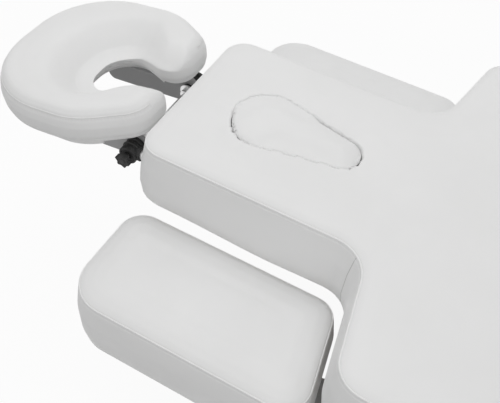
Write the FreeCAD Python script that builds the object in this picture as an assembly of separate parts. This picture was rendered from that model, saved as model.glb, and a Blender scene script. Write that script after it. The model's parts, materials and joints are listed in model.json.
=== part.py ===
import FreeCAD, Part
import math
import os
from FreeCAD import Vector

os.makedirs("parts", exist_ok=True)

# Table top: x runs from the head edge of the backrest to the foot, z from the floor
TABLE_HEIGHT = 640.0
HEAD_WIDTH = 320.0
TABLE_WIDTH = 730.0
BACK_LENGTH = 800.0
SEAT_LENGTH = 430.0
LEG_LENGTH = 600.0
SECTION_GAP = 16.0
STEP_START = 395.0
STEP_SLANT_SHARE = 0.18

# Upholstered sections
PAD_THICK = 138.0
PAD_BULGE = 8.0
HEAD_CORNER = 38.0
STEP_INNER_CORNER = 60.0
STEP_OUTER_CORNER = 46.0
SECTION_CORNER = 22.0
FOOT_CORNER = 60.0
PAD_DEPTH_SHARES = (0.0, 0.02, 0.045, 0.08, 0.14, 0.4, 0.75, 0.95, 1.0)
PAD_INSET_SHARES = (8.0, 3.4, 1.2, 0.0, -0.4, -1.0, -1.0, -0.55, 0.9)
CORNER_FLOOR_SHARE = 0.15
BOARD_THICK = 15.0
BOARD_INSET = 14.0

# Face hole with its loose plug
PLUG_START = 94.0
PLUG_END = 314.0
PLUG_HEAD_WIDTH = 145.0
PLUG_FOOT_WIDTH = 54.0
PLUG_HEAD_CORNER = 57.5
PLUG_FOOT_CORNER = 31.5
PLUG_RISE = 8.0
PLUG_DEPTH = 70.0
PLUG_CLEARANCE = 2.0
PLUG_LEDGE = 10.0
DISH_WIDTH = 26.0
DISH_DEPTH = 8.0
PLUG_DEPTH_SHARES = (0.0, 0.04, 0.1, 0.2, 0.92, 1.0)
PLUG_INSET_SHARES = (3.4, 2.0, 0.8, 0.0, 0.0, 0.6)

# Armrests
ARM_START = 4.0
ARM_INNER = 182.0
ARM_OUTER = 375.0
ARM_FOOT_GAP = 22.0
ARM_DROP = 126.0
ARM_THICK = 146.0
ARM_BULGE = 9.0
ARM_HEAD_OUTER_CORNER = 62.0
ARM_HEAD_INNER_CORNER = 40.0
ARM_FOOT_OUTER_CORNER = 42.0
ARM_FOOT_INNER_CORNER = 36.0
ARM_BOARD_THICK = 12.0
ARM_BOARD_INSET = 16.0
ARM_DEPTH_SHARES = (0.0, 0.025, 0.06, 0.1, 0.17, 0.42, 0.74, 0.94, 1.0)
ARM_INSET_SHARES = (4.8, 2.6, 1.0, 0.0, -0.4, -1.0, -1.0, -0.5, 1.1)

# Armrest linkage
ARM_PIVOT_X = 450.0
ARM_PIVOT_DEPTH = 278.0
LINK_LENGTH = 150.0
LINK_SPACING = 36.0
LINK_WIDTH = 84.0
LINK_THICK = 8.0
LINK_EYE_RADIUS = 10.0
LINK_PIN_RADIUS = 5.0
LINK_SIDE_GAP = 0.4
BRACKET_THICK = 6.0
BRACKET_WIDTH = 28.0
CARRIER_LENGTH = 96.0
CARRIER_PLATE_THICK = 6.0
PIN_OVERHANG = 3.0

# Section frames and hinges
SECTION_TUBE = 25.0
TUBE_WALL = 2.5
SECTION_RAIL_Y = 105.0
SECTION_RAIL_INSET = 30.0
CROSSBAR_HALF = 290.0
OUTRIGGER_HALF = 318.0
OUTRIGGER_LIP = 7.6
HINGE_DEPTH = 15.0
HINGE_Y = 240.0
EAR_RADIUS = 7.4
EAR_THICK = 6.0
EAR_FOOT = 20.0
EAR_FOOT_HEIGHT = 18.0
HINGE_PIN_RADIUS = 4.0
HINGE_HEAD_RADIUS = 6.0
HINGE_HEAD_THICK = 3.0
RISER_OFFSET = 9.0
RISER_WIDTH = 40.0
BACK_RANGE_DEG = 65.0
LEG_RANGE_DEG = 35.0

# Lift frame
LIFT_RAIL_HEIGHT = 50.0
LIFT_RAIL_WIDTH = 30.0
LIFT_RAIL_Y = 115.0
LIFT_HEAD_OVERHANG = 50.0
LIFT_FOOT_OVERHANG = 18.0
LIFT_CROSSBAR_WIDTH = 80.0
BUMPER_THICK = 4.0
BUMPER_RADIUS = 7.0
BACK_BUMPER_SHARES = (0.56, 0.88)
LEG_BUMPER_SHARES = (0.2, 0.58)

# Twin drive and its levers
LEVER_RADIUS = 220.0
LEVER_HALF = 8.0
LEVER_Y = 15.0
LEVER_THICK = 6.0
TIP_RADIUS = 10.0
PUSH_GAP = 3.5
BLOCK_LENGTH = 46.0
BLOCK_WIDTH = 44.0
BLOCK_CROWN = 4.0
KEY_WIDTH = 22.0
KEY_DEPTH = 14.0
HOUSING_WIDTH = 90.0
HOUSING_HEIGHT = 80.0
HOUSING_MARGIN = 24.0
HOUSING_CORNER = 14.0
HOUSING_EDGE = 6.0
HOUSING_DROP = 8.0
MOTOR_RADIUS = 27.0
MOTOR_LENGTH = 86.0
MOTOR_NECK_RADIUS = 20.0
MOTOR_NECK = 14.0
HANGER_WIDTH = 36.0
HANGER_THICK = 14.0
HANGER_SHARES = (0.1, 0.9)
MOTOR_SHARES = (0.36, 0.62)

# Lifting columns
COLUMN_HEAD_OFFSET = 288.0
COLUMN_FOOT_OFFSET = 192.0
COLUMN_DEPTH = 110.0
COLUMN_WIDTH = 190.0
COLUMN_WALL = 4.0
COLUMN_CORNER = 16.0
COLUMN_SHOW = 45.4
COLUMN_STEP = 5.0
COLUMN_LIP = 12.0
COLUMN_PLATE_THICK = 8.0
COLUMN_PLATE_MARGIN = 18.0
LIFT_TRAVEL = 250.0
GEARBOX_HEIGHT = 22.0
GEARBOX_LENGTH = 130.0
GEARBOX_WIDTH = 64.0
COLUMN_MOTOR_RADIUS = 29.0
COLUMN_MOTOR_LENGTH = 120.0
COLUMN_MOTOR_Y = 34.0
SPINDLE_Y = -36.0
SPINDLE_RADIUS = 8.0
SPINDLE_TOP_GAP = 8.0
PUSH_TUBE_WALL = 4.0

# Base
BASE_PAD_HEIGHT = 12.0
BASE_PAD_RADIUS = 24.0
BASE_PAD_MARGIN = 42.0
BASE_FOOT_HEIGHT = 45.0
BASE_FOOT_DEPTH = 170.0
BASE_FOOT_WIDTH = 600.0
BASE_FOOT_CORNER = 40.0
BASE_EDGE = 8.0
SPINE_WIDTH = 150.0
SPINE_HEIGHT = 36.0
SPINE_CORNER = 9.0

# Control box
CONTROL_GAP = 13.0
CONTROL_LENGTH = 140.0
CONTROL_WIDTH = 220.0
CONTROL_HEIGHT = 58.0
CONTROL_CORNER = 12.0
INLET_WIDTH = 28.0
INLET_HEIGHT = 22.0
INLET_DEPTH = 12.0
INLET_WALL = 3.0

# Face cradle cushion
CRADLE_REACH = 348.0
CRADLE_WIDTH = 338.0
CRADLE_GAP = 27.0
CRADLE_TIP_WIDTH = 224.0
CRADLE_SHOULDER = 114.0
CRADLE_HEAD_CORNER = 147.0
CRADLE_SIDE_CORNER = 115.0
CRADLE_TIP_CORNER = 48.0
MOUTH_WIDTH = 62.0
MOUTH_END = 74.0
MOUTH_CORNER = 33.0
MOUTH_INNER_CORNER = 48.0
OPENING_WIDTH = 112.0
OPENING_START = 130.0
OPENING_END = 190.0
OPENING_FRONT_CORNER = 28.0
OPENING_CORNER = 48.0
CRADLE_RISE = 6.0
CRADLE_THICK = 68.0
CRADLE_BULGE = 5.0
CRADLE_DEPTH_SHARES = (0.0, 0.06, 0.16, 0.3, 0.5, 0.75, 0.92, 1.0)
CRADLE_INSET_SHARES = (4.0, 2.2, 0.8, -0.3, -1.0, -0.9, -0.2, 1.0)
HOLLOW_WIDTH = 66.0
HOLLOW_TIP_WIDTH = 36.0
HOLLOW_DEPTH = 30.0
HOLLOW_DEPTH_SHARES = (0.0, 0.36, 1.0)
HOLLOW_WIDTH_SHARES = (1.0, 0.58, 0.04)
CRADLE_BOARD_THICK = 9.0
CRADLE_BOARD_INSET = 12.0
CRADLE_BOARD_END = 84.0

# Face cradle hardware
TILT_X = -54.0
REST_TILT_DEG = 7.0
TILT_DEPTH = 102.0
POST_RADIUS = 9.0
POST_Y = 102.0
POST_LENGTH = 200.0
POST_SEAT = 6.0
CLUTCH_RADIUS = 18.0
CLUTCH_WIDTH = 32.0
CLUTCH_BOSS_RADIUS = 13.0
CLUTCH_BOSS_LENGTH = 24.0
ARM_PLATE_THICK = 3.0
ARM_PLATE_LENGTH = 192.0
ARM_PLATE_BELOW = 32.0
ARM_PLATE_END = 17.0
ARM_PLATE_CORNER = 14.0
ARM_PLATE_TOP_CORNER = 4.0
ARM_FLANGE_WIDTH = 25.0
ARM_FLANGE_START = 12.0
ARM_FLANGE_END = 46.0
SPACER_RADIUS = 13.0
SPACER_THICK = 6.0
WASHER_RADIUS = 15.0
WASHER_THICK = 2.5
CAP_RADIUS = 9.0
CAP_LENGTH = 10.0
ROD_RADIUS = 4.0
ROD_END = 10.0
KNOB_RADIUS = 14.0
KNOB_THICK = 16.0
KNOB_CORE_SHARE = 0.72
KNOB_LOBE_SHARE = 0.32
KNOB_LOBE_PLACE_SHARE = 0.68
KNOB_LOBES = 6

# Head rail with post sockets
HEAD_RAIL_START = 10.0
HEAD_RAIL_DEPTH = 60.0
HEAD_RAIL_WIDTH = 270.0
HEAD_RAIL_HEIGHT = 56.0
SOCKET_RADIUS = 11.5
SOCKET_LENGTH = 170.0

# Fits
REST_GAP = 0.3
RUN_CLEARANCE = 0.1
SLIDE_CLEARANCE = 0.3
OVERRUN = 5.0

# Worked-out levels
pad_bottom = TABLE_HEIGHT - PAD_THICK
board_top = pad_bottom - REST_GAP
board_bottom = board_top - BOARD_THICK
section_bottom = board_bottom - SECTION_TUBE
lift_top = section_bottom - BUMPER_THICK - REST_GAP
lift_bottom = lift_top - LIFT_RAIL_HEIGHT
base_top = BASE_PAD_HEIGHT + BASE_FOOT_HEIGHT
hinge_z = TABLE_HEIGHT - HINGE_DEPTH
tilt_z = TABLE_HEIGHT - TILT_DEPTH

# Worked-out places along the table
half_head = HEAD_WIDTH / 2
half_table = TABLE_WIDTH / 2
step_outer = STEP_START + STEP_SLANT_SHARE * (half_table - half_head)
seat_start = BACK_LENGTH + SECTION_GAP
seat_end = seat_start + SEAT_LENGTH
leg_start = seat_end + SECTION_GAP
leg_end = leg_start + LEG_LENGTH
back_hinge_x = BACK_LENGTH + SECTION_GAP / 2
leg_hinge_x = seat_end + SECTION_GAP / 2
column_head_x = back_hinge_x - COLUMN_HEAD_OFFSET
column_foot_x = leg_hinge_x + COLUMN_FOOT_OFFSET
control_start = column_foot_x + COLUMN_DEPTH / 2 + COLUMN_PLATE_MARGIN + CONTROL_GAP
lift_head_x = column_head_x - LIFT_CROSSBAR_WIDTH / 2 - LIFT_HEAD_OVERHANG
lift_foot_x = control_start + CONTROL_LENGTH + LIFT_FOOT_OVERHANG
cradle_top = TABLE_HEIGHT + CRADLE_RISE


def cradle_head(depth_share, inset_share):
    """Head-most place of the tilted face cushion at one depth."""
    along = (1 + inset_share) * CRADLE_BULGE - CRADLE_REACH - TILT_X
    above = cradle_top - depth_share * CRADLE_THICK - tilt_z
    angle = math.radians(REST_TILT_DEG)
    return TILT_X + along * math.cos(angle) - above * math.sin(angle)


cradle_start = min(cradle_head(*pair) for pair in zip(CRADLE_DEPTH_SHARES, CRADLE_INSET_SHARES))
origin_x = (leg_end + cradle_start) / 2


def box(x0, x1, y0, y1, z0, z1):
    """Block between two opposite corners, given in any order."""
    low = Vector(min(x0, x1), min(y0, y1), min(z0, z1))
    return Part.makeBox(abs(x1 - x0), abs(y1 - y0), abs(z1 - z0), low)


def bar_y(x, y0, y1, z, radius):
    """Round bar along Y."""
    return Part.makeCylinder(radius, abs(y1 - y0), Vector(x, min(y0, y1), z), Vector(0, 1, 0))


def bar_x(x0, x1, y, z, radius):
    """Round bar along X."""
    return Part.makeCylinder(radius, abs(x1 - x0), Vector(min(x0, x1), y, z), Vector(1, 0, 0))


def bar_z(x, y, z0, z1, radius):
    """Round bar along Z."""
    return Part.makeCylinder(radius, abs(z1 - z0), Vector(x, y, min(z0, z1)))


def tube_x(x0, x1, y0, y1, z0, z1):
    """Box tube along X, open at both ends."""
    hollow = box(x0 - OVERRUN, x1 + OVERRUN, y0 + TUBE_WALL, y1 - TUBE_WALL, z0 + TUBE_WALL, z1 - TUBE_WALL)
    return box(x0, x1, y0, y1, z0, z1).cut(hollow)


def tube_y(x0, x1, y0, y1, z0, z1):
    """Box tube along Y, open at both ends."""
    hollow = box(x0 + TUBE_WALL, x1 - TUBE_WALL, y0 - OVERRUN, y1 + OVERRUN, z0 + TUBE_WALL, z1 - TUBE_WALL)
    return box(x0, x1, y0, y1, z0, z1).cut(hollow)


def outline(corners, inset, level):
    """Closed wire of lines and arcs round corners (x, y, radius), drawn in by inset."""
    count = len(corners)
    sides = []
    for index in range(count):
        start = corners[index]
        end = corners[(index + 1) % count]
        run = Vector(end[0] - start[0], end[1] - start[1], 0).normalize()
        inward = Vector(-run.y, run.x, 0)
        sides.append((Vector(start[0], start[1], 0) + inward * inset, run))
    bends = []
    for index in range(count):
        point_in, run_in = sides[index - 1]
        point_out, run_out = sides[index]
        cross = run_in.x * run_out.y - run_in.y * run_out.x
        offset = point_out - point_in
        along = (offset.x * run_out.y - offset.y * run_out.x) / cross
        corner = point_in + run_in * along + Vector(0, 0, level)
        turn = abs(math.atan2(cross, run_in.dot(run_out)))
        drawn = corners[index][2] - math.copysign(inset, inset * cross)
        radius = max(drawn, corners[index][2] * CORNER_FLOOR_SHARE)
        reach = radius * math.tan(turn / 2)
        toward = (run_out - run_in).normalize()
        middle = corner + toward * (radius / math.cos(turn / 2) - radius)
        bends.append((corner - run_in * reach, middle, corner + run_out * reach))
    edges = []
    for index in range(count):
        enter, middle, leave = bends[index]
        edges.append(Part.Arc(enter, middle, leave).toShape())
        edges.append(Part.makeLine(leave, bends[(index + 1) % count][0]))
    return Part.Wire(edges)


def prism(corners, inset, z0, z1):
    """Upright block with the outline as its plan."""
    return Part.Face(outline(corners, inset, z0)).extrude(Vector(0, 0, z1 - z0))


def cushion(corners, top, thick, swell, depth_shares, inset_shares):
    """Crowned pad with drawn-in edges: a loft through outlines at each depth."""
    wires = []
    for depth_share, inset_share in zip(depth_shares, inset_shares):
        wires.append(outline(corners, inset_share * swell, top - depth_share * thick))
    return Part.makeLoft(wires, True, True)


def eased_block(corners, z0, z1, edge):
    """Upright block whose top edge is bevelled."""
    wires = [outline(corners, 0, z0), outline(corners, 0, z1 - edge), outline(corners, edge, z1)]
    return Part.makeLoft(wires, True, True)


def rectangle(x0, x1, y0, y1, radius_start, radius_end):
    """Corners of a rectangle with one radius at its head end and one at its foot end."""
    return (
        (x0, y0, radius_start),
        (x1, y0, radius_end),
        (x1, y1, radius_end),
        (x0, y1, radius_start),
    )


def around(x, half_x, half_y, radius):
    """Corners of a rectangle centred on the table's middle line at x."""
    return rectangle(x - half_x, x + half_x, -half_y, half_y, radius, radius)


def fused(shapes):
    """One welded piece from touching shapes."""
    return shapes[0].multiFuse(shapes[1:]).removeSplitter()


def mirrored(shape):
    """The same piece on the far side of the table."""
    return shape.mirror(Vector(0, 0, 0), Vector(0, 1, 0))


def write(name, shapes):
    """Write one node, moved so that the origin is under the middle of the object."""
    group = shapes if isinstance(shapes, list) else [shapes]
    moved = [shape.translated(Vector(-origin_x, 0, 0)) for shape in group]
    solids = [solid for shape in moved for solid in shape.Solids]
    node = solids[0] if len(solids) == 1 else Part.makeCompound(solids)
    node.exportStep("parts/" + name + ".step")


# Plan outlines
back_corners = (
    (0, -half_head, HEAD_CORNER),
    (STEP_START, -half_head, STEP_INNER_CORNER),
    (step_outer, -half_table, STEP_OUTER_CORNER),
    (BACK_LENGTH - PAD_BULGE, -half_table, SECTION_CORNER),
    (BACK_LENGTH - PAD_BULGE, half_table, SECTION_CORNER),
    (step_outer, half_table, STEP_OUTER_CORNER),
    (STEP_START, half_head, STEP_INNER_CORNER),
    (0, half_head, HEAD_CORNER),
)
seat_corners = rectangle(
    seat_start + PAD_BULGE, seat_end - PAD_BULGE, -half_table, half_table, SECTION_CORNER, SECTION_CORNER
)
leg_corners = rectangle(
    leg_start + PAD_BULGE, leg_end - PAD_BULGE, -half_table, half_table, SECTION_CORNER, FOOT_CORNER
)
plug_corners = (
    (PLUG_START, -PLUG_HEAD_WIDTH / 2, PLUG_HEAD_CORNER),
    (PLUG_END, -PLUG_FOOT_WIDTH / 2, PLUG_FOOT_CORNER),
    (PLUG_END, PLUG_FOOT_WIDTH / 2, PLUG_FOOT_CORNER),
    (PLUG_START, PLUG_HEAD_WIDTH / 2, PLUG_HEAD_CORNER),
)


def armrest_foot(y):
    """Place of the armrest's slanted foot edge at a distance y from the middle."""
    return STEP_START - ARM_FOOT_GAP + STEP_SLANT_SHARE * (y - half_head)


arm_corners = (
    (ARM_START, -ARM_OUTER, ARM_HEAD_OUTER_CORNER),
    (armrest_foot(ARM_OUTER), -ARM_OUTER, ARM_FOOT_OUTER_CORNER),
    (armrest_foot(ARM_INNER), -ARM_INNER, ARM_FOOT_INNER_CORNER),
    (ARM_START, -ARM_INNER, ARM_HEAD_INNER_CORNER),
)


def cradle_side():
    """Near half of the horseshoe outline, from the head end to the deep end of the face opening."""
    return [
        (CRADLE_BULGE - CRADLE_REACH, -CRADLE_WIDTH / 2, CRADLE_HEAD_CORNER),
        (-CRADLE_SHOULDER, -CRADLE_WIDTH / 2, CRADLE_SIDE_CORNER),
        (-CRADLE_GAP, -CRADLE_TIP_WIDTH / 2, CRADLE_TIP_CORNER),
        (-CRADLE_GAP, -MOUTH_WIDTH / 2, MOUTH_CORNER),
        (-MOUTH_END, -MOUTH_WIDTH / 2, MOUTH_INNER_CORNER),
        (-OPENING_START, -OPENING_WIDTH / 2, OPENING_FRONT_CORNER),
        (-OPENING_END, -OPENING_WIDTH / 2, OPENING_CORNER),
    ]


def hollow_side(share):
    """Near half of the face hollow's outline, grown from the opening by a share of its width."""
    grown = share * HOLLOW_WIDTH
    tip_half = MOUTH_WIDTH / 2 + share * HOLLOW_TIP_WIDTH
    return [
        (-OPENING_END - grown, -OPENING_WIDTH / 2 - grown, OPENING_CORNER + grown),
        (-OPENING_START, -OPENING_WIDTH / 2 - grown, OPENING_FRONT_CORNER),
        (-MOUTH_END, -tip_half, OPENING_FRONT_CORNER),
        (0, -tip_half, OVERRUN),
    ]


def both_sides(near_side):
    """Corners of a plan that is the same on both sides of the table."""
    return near_side + [(x, -y, radius) for x, y, radius in reversed(near_side)]


cradle_corners = both_sides(cradle_side())


def build_base():
    """Two cross feet on rubber pads, joined by a spine."""
    pads = []
    for name, column_x in (("base_foot_head", column_head_x), ("base_foot_foot", column_foot_x)):
        x0 = column_x - BASE_FOOT_DEPTH / 2
        x1 = column_x + BASE_FOOT_DEPTH / 2
        y1 = BASE_FOOT_WIDTH / 2
        plan = rectangle(x0, x1, -y1, y1, BASE_FOOT_CORNER, BASE_FOOT_CORNER)
        write(name, eased_block(plan, BASE_PAD_HEIGHT, base_top, BASE_EDGE))
        for y in (BASE_PAD_MARGIN - y1, y1 - BASE_PAD_MARGIN):
            pads.append(bar_z(column_x, y, 0, BASE_PAD_HEIGHT, BASE_PAD_RADIUS))
    write("base_pads", pads)
    start = column_head_x + BASE_FOOT_DEPTH / 2
    end = column_foot_x - BASE_FOOT_DEPTH / 2
    section = rectangle(-SPINE_WIDTH / 2, SPINE_WIDTH / 2, 0, SPINE_HEIGHT, SPINE_CORNER, SPINE_CORNER)
    face = Part.Face(outline(section, 0, 0))
    inner = Part.Face(outline(section, TUBE_WALL, 0))
    spine = face.cut(inner).extrude(Vector(0, 0, end - start))
    spine.rotate(Vector(0, 0, 0), Vector(1, 0, 0), 90)
    spine.rotate(Vector(0, 0, 0), Vector(0, 0, 1), 90)
    write("base_spine", spine.translated(Vector(start, 0, BASE_PAD_HEIGHT)))


def column_tube(column_x, shrink, z0, z1):
    """One stage of a lifting column, smaller by shrink on every side."""
    half_x = COLUMN_DEPTH / 2 - shrink
    half_y = COLUMN_WIDTH / 2 - shrink
    plan = around(column_x, half_x, half_y, COLUMN_CORNER)
    return prism(plan, 0, z0, z1).cut(prism(plan, COLUMN_WALL, z0 - OVERRUN, z1 + OVERRUN))


def build_columns():
    """Three telescoping tubes per column, with motor, spindle and push tube inside."""
    motors = []
    spindles = []
    push_tubes = []
    stage = COLUMN_WALL + SLIDE_CLEARANCE
    plate_bottom = lift_bottom - COLUMN_PLATE_THICK
    gearbox_top = base_top + GEARBOX_HEIGHT
    for end, column_x in (("head", column_head_x), ("foot", column_foot_x)):
        outer_top = plate_bottom - COLUMN_SHOW
        write("column_outer_" + end, column_tube(column_x, 0, base_top, outer_top))
        middle = column_tube(column_x, stage, base_top + COLUMN_STEP, outer_top + COLUMN_LIP)
        write("column_middle_" + end, middle)
        inner = column_tube(column_x, 2 * stage, base_top + 2 * COLUMN_STEP, plate_bottom)
        plate_x = COLUMN_DEPTH / 2 + COLUMN_PLATE_MARGIN
        plate_y = COLUMN_WIDTH / 2 + COLUMN_PLATE_MARGIN
        plan = around(column_x, plate_x, plate_y, COLUMN_CORNER)
        write("column_inner_" + end, fused([inner, prism(plan, 0, plate_bottom, lift_bottom)]))
        half_x = GEARBOX_WIDTH / 2
        half_y = GEARBOX_LENGTH / 2
        plan = around(column_x, half_x, half_y, COLUMN_CORNER)
        gearbox = prism(plan, 0, base_top, gearbox_top)
        motor_top = gearbox_top + COLUMN_MOTOR_LENGTH
        motor = bar_z(column_x, COLUMN_MOTOR_Y, gearbox_top, motor_top, COLUMN_MOTOR_RADIUS)
        motors.append(fused([gearbox, motor]))
        spindle_top = plate_bottom - SPINDLE_TOP_GAP
        spindles.append(bar_z(column_x, SPINDLE_Y, gearbox_top, spindle_top, SPINDLE_RADIUS))
        bore = SPINDLE_RADIUS + SLIDE_CLEARANCE
        tube_bottom = gearbox_top + COLUMN_STEP
        tube = bar_z(column_x, SPINDLE_Y, tube_bottom, plate_bottom, bore + PUSH_TUBE_WALL)
        hollow = bar_z(column_x, SPINDLE_Y, tube_bottom - OVERRUN, plate_bottom + OVERRUN, bore)
        push_tubes.append(tube.cut(hollow))
    write("column_motors", motors)
    write("column_spindles", spindles)
    write("column_push_tubes", push_tubes)


def hinge_ear(hinge_x, toward, y0, bore):
    """Flat bar with a pin eye at its top and a foot that turns towards its frame."""
    y1 = y0 + EAR_THICK
    blade = box(hinge_x - EAR_RADIUS, hinge_x + EAR_RADIUS, y0, y1, section_bottom, hinge_z)
    eye = bar_y(hinge_x, y0, y1, hinge_z, EAR_RADIUS)
    foot_top = section_bottom + EAR_FOOT_HEIGHT
    foot = box(hinge_x, hinge_x + toward * EAR_FOOT, y0, y1, section_bottom, foot_top)
    return fused([blade, eye, foot]).cut(bar_y(hinge_x, y0 - OVERRUN, y1 + OVERRUN, hinge_z, bore))


def fixed_ears(hinge_x, toward):
    """Ears of the lift frame at one hinge line."""
    return [hinge_ear(hinge_x, toward, y, HINGE_PIN_RADIUS) for y in (HINGE_Y, -HINGE_Y - EAR_THICK)]


def moving_ears(hinge_x, toward):
    """Ears of a moving section, beside the fixed ones."""
    step = EAR_THICK + SLIDE_CLEARANCE
    bore = HINGE_PIN_RADIUS + RUN_CLEARANCE
    return [hinge_ear(hinge_x, toward, y, bore) for y in (HINGE_Y + step, -HINGE_Y - EAR_THICK - step)]


def hinge_pins(hinge_x):
    """Headed pins through each pair of ears."""
    pins = []
    inner = HINGE_Y - RUN_CLEARANCE
    outer = HINGE_Y + 2 * EAR_THICK + SLIDE_CLEARANCE + RUN_CLEARANCE
    shank = bar_y(hinge_x, inner, outer, hinge_z, HINGE_PIN_RADIUS)
    head = bar_y(hinge_x, inner - HINGE_HEAD_THICK, inner, hinge_z, HINGE_HEAD_RADIUS)
    tail = bar_y(hinge_x, outer, outer + HINGE_HEAD_THICK, hinge_z, HINGE_HEAD_RADIUS)
    pin = fused([shank, head, tail])
    pins.append(pin)
    pins.append(mirrored(pin))
    return pins


def riser(hinge_x, toward):
    """Crossbar of the lift frame that carries the seat board beside a hinge line."""
    near = hinge_x + toward * RISER_OFFSET
    far = near + toward * RISER_WIDTH
    return tube_y(min(near, far), max(near, far), -CROSSBAR_HALF, CROSSBAR_HALF, lift_top, board_bottom)


def swing(range_deg):
    """Half of a section's swing, in radians."""
    return math.radians(range_deg) / 2


def lever_tip(hinge_x, moving, range_deg):
    """Place of a lever's tip at rest, on the seat side of its hinge line."""
    reach = LEVER_RADIUS * math.sin(swing(range_deg))
    fall = LEVER_RADIUS * math.cos(swing(range_deg))
    return hinge_x - moving * reach, hinge_z - fall


def push_per_radian(range_deg):
    """Travel of a push block for each radian of its section's swing."""
    return LEVER_RADIUS * (1 - swing(range_deg) ** 2 / 8)


def push_travel(range_deg):
    """Whole travel of a push block."""
    return push_per_radian(range_deg) * math.radians(range_deg)


def levers(hinge_x, moving, range_deg):
    """Two bent lever plates welded under a section's crossbar."""
    tip_x, tip_z = lever_tip(hinge_x, moving, range_deg)
    near = hinge_x + moving * RISER_OFFSET
    far = near + moving * SECTION_TUBE
    plates = []
    for y in (LEVER_Y, -LEVER_Y - LEVER_THICK):
        drop = box(near, far, y, y + LEVER_THICK, tip_z - LEVER_HALF, section_bottom)
        arm = box(far, tip_x, y, y + LEVER_THICK, tip_z - LEVER_HALF, tip_z + LEVER_HALF)
        end = bar_y(tip_x, y, y + LEVER_THICK, tip_z, LEVER_HALF)
        plates.append(fused([drop, arm, end]))
    return plates


def push_block(hinge_x, moving, range_deg):
    """Nylon block that pushes a lever tip and runs on a key in the drive housing."""
    tip_x, tip_z = lever_tip(hinge_x, moving, range_deg)
    face = tip_x - moving * (TIP_RADIUS + PUSH_GAP)
    back = face - moving * BLOCK_LENGTH
    half = BLOCK_WIDTH / 2
    top = tip_z + TIP_RADIUS + BLOCK_CROWN
    plan = rectangle(min(face, back), max(face, back), -half, half, BLOCK_CROWN, BLOCK_CROWN)
    body = eased_block(plan, housing_top + REST_GAP, top, BLOCK_CROWN)
    key_half = KEY_WIDTH / 2
    key = box(face, back, -key_half, key_half, housing_top - KEY_DEPTH, housing_top + REST_GAP)
    return fused([body, key])


back_tip_x, back_tip_z = lever_tip(back_hinge_x, -1, BACK_RANGE_DEG)
leg_tip_x, leg_tip_z = lever_tip(leg_hinge_x, 1, LEG_RANGE_DEG)
housing_top = hinge_z - LEVER_RADIUS - TIP_RADIUS - HOUSING_DROP
housing_start = back_tip_x + TIP_RADIUS - push_travel(BACK_RANGE_DEG) - HOUSING_MARGIN
housing_end = leg_tip_x - TIP_RADIUS + push_travel(LEG_RANGE_DEG) + HOUSING_MARGIN
housing_bottom = housing_top - HOUSING_HEIGHT


def along_housing(share):
    """Place along the drive housing."""
    return housing_start + share * (housing_end - housing_start)


def hangers():
    """Welded arms that carry the drive housing below the lift rails."""
    arms = []
    for share in HANGER_SHARES:
        x0 = along_housing(share) - HANGER_WIDTH / 2
        x1 = x0 + HANGER_WIDTH
        outer = LIFT_RAIL_Y + LIFT_RAIL_WIDTH / 2
        low = housing_top - HANGER_WIDTH
        post = box(x0, x1, outer - HANGER_THICK, outer, low, lift_bottom)
        inward = box(x0, x1, HOUSING_WIDTH / 2, outer, low, low + HANGER_THICK)
        arm = fused([post, inward])
        arms.append(arm)
        arms.append(mirrored(arm))
    return arms


def build_lift_frame():
    """Ladder frame on the columns, with seat risers, hinge ears, bumpers and drive hangers."""
    half = LIFT_RAIL_WIDTH / 2
    pieces = []
    for y in (LIFT_RAIL_Y, -LIFT_RAIL_Y):
        pieces.append(tube_x(lift_head_x, lift_foot_x, y - half, y + half, lift_bottom, lift_top))
    for column_x in (column_head_x, column_foot_x):
        x0 = column_x - LIFT_CROSSBAR_WIDTH / 2
        x1 = column_x + LIFT_CROSSBAR_WIDTH / 2
        pieces.append(tube_y(x0, x1, half - LIFT_RAIL_Y, LIFT_RAIL_Y - half, lift_bottom, lift_top))
    pieces += [riser(back_hinge_x, 1), riser(leg_hinge_x, -1)]
    pieces += fixed_ears(back_hinge_x, 1) + fixed_ears(leg_hinge_x, -1)
    pieces += hangers()
    write("lift_frame", fused(pieces))
    write("hinge_pins", hinge_pins(back_hinge_x) + hinge_pins(leg_hinge_x))
    places = [share * BACK_LENGTH for share in BACK_BUMPER_SHARES]
    places += [leg_start + share * LEG_LENGTH for share in LEG_BUMPER_SHARES]
    bumpers = []
    for x in places:
        for y in (SECTION_RAIL_Y, -SECTION_RAIL_Y):
            bumpers.append(bar_z(x, y, lift_top, lift_top + BUMPER_THICK, BUMPER_RADIUS))
    write("rest_bumpers", bumpers)


def build_drive():
    """Twin drive: a long housing with a keyway, two motors and a push block at each end."""
    half = HOUSING_WIDTH / 2
    plan = rectangle(housing_start, housing_end, -half, half, HOUSING_CORNER, HOUSING_CORNER)
    key_half = KEY_WIDTH / 2 + SLIDE_CLEARANCE
    keyway_start = housing_start + HOUSING_MARGIN / 2
    keyway_end = housing_end - HOUSING_MARGIN / 2
    floor = housing_top - KEY_DEPTH - SLIDE_CLEARANCE
    keyway = box(keyway_start, keyway_end, -key_half, key_half, floor, housing_top + OVERRUN)
    body = eased_block(plan, housing_bottom, housing_top, HOUSING_EDGE)
    write("drive_housing", body.cut(keyway))
    motors = []
    for share in MOTOR_SHARES:
        x = along_housing(share)
        neck = bar_z(x, 0, housing_bottom - MOTOR_NECK, housing_bottom, MOTOR_NECK_RADIUS)
        can_top = housing_bottom - MOTOR_NECK
        can = bar_z(x, 0, can_top - MOTOR_LENGTH, can_top, MOTOR_RADIUS)
        motors.append(fused([neck, can]))
    write("drive_motors", motors)
    write("back_push_block", push_block(back_hinge_x, -1, BACK_RANGE_DEG))
    write("leg_push_block", push_block(leg_hinge_x, 1, LEG_RANGE_DEG))
    tip_half = LEVER_Y
    write("back_lever_tip", bar_y(back_tip_x, -tip_half, tip_half, back_tip_z, TIP_RADIUS))
    write("leg_lever_tip", bar_y(leg_tip_x, -tip_half, tip_half, leg_tip_z, TIP_RADIUS))


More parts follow.
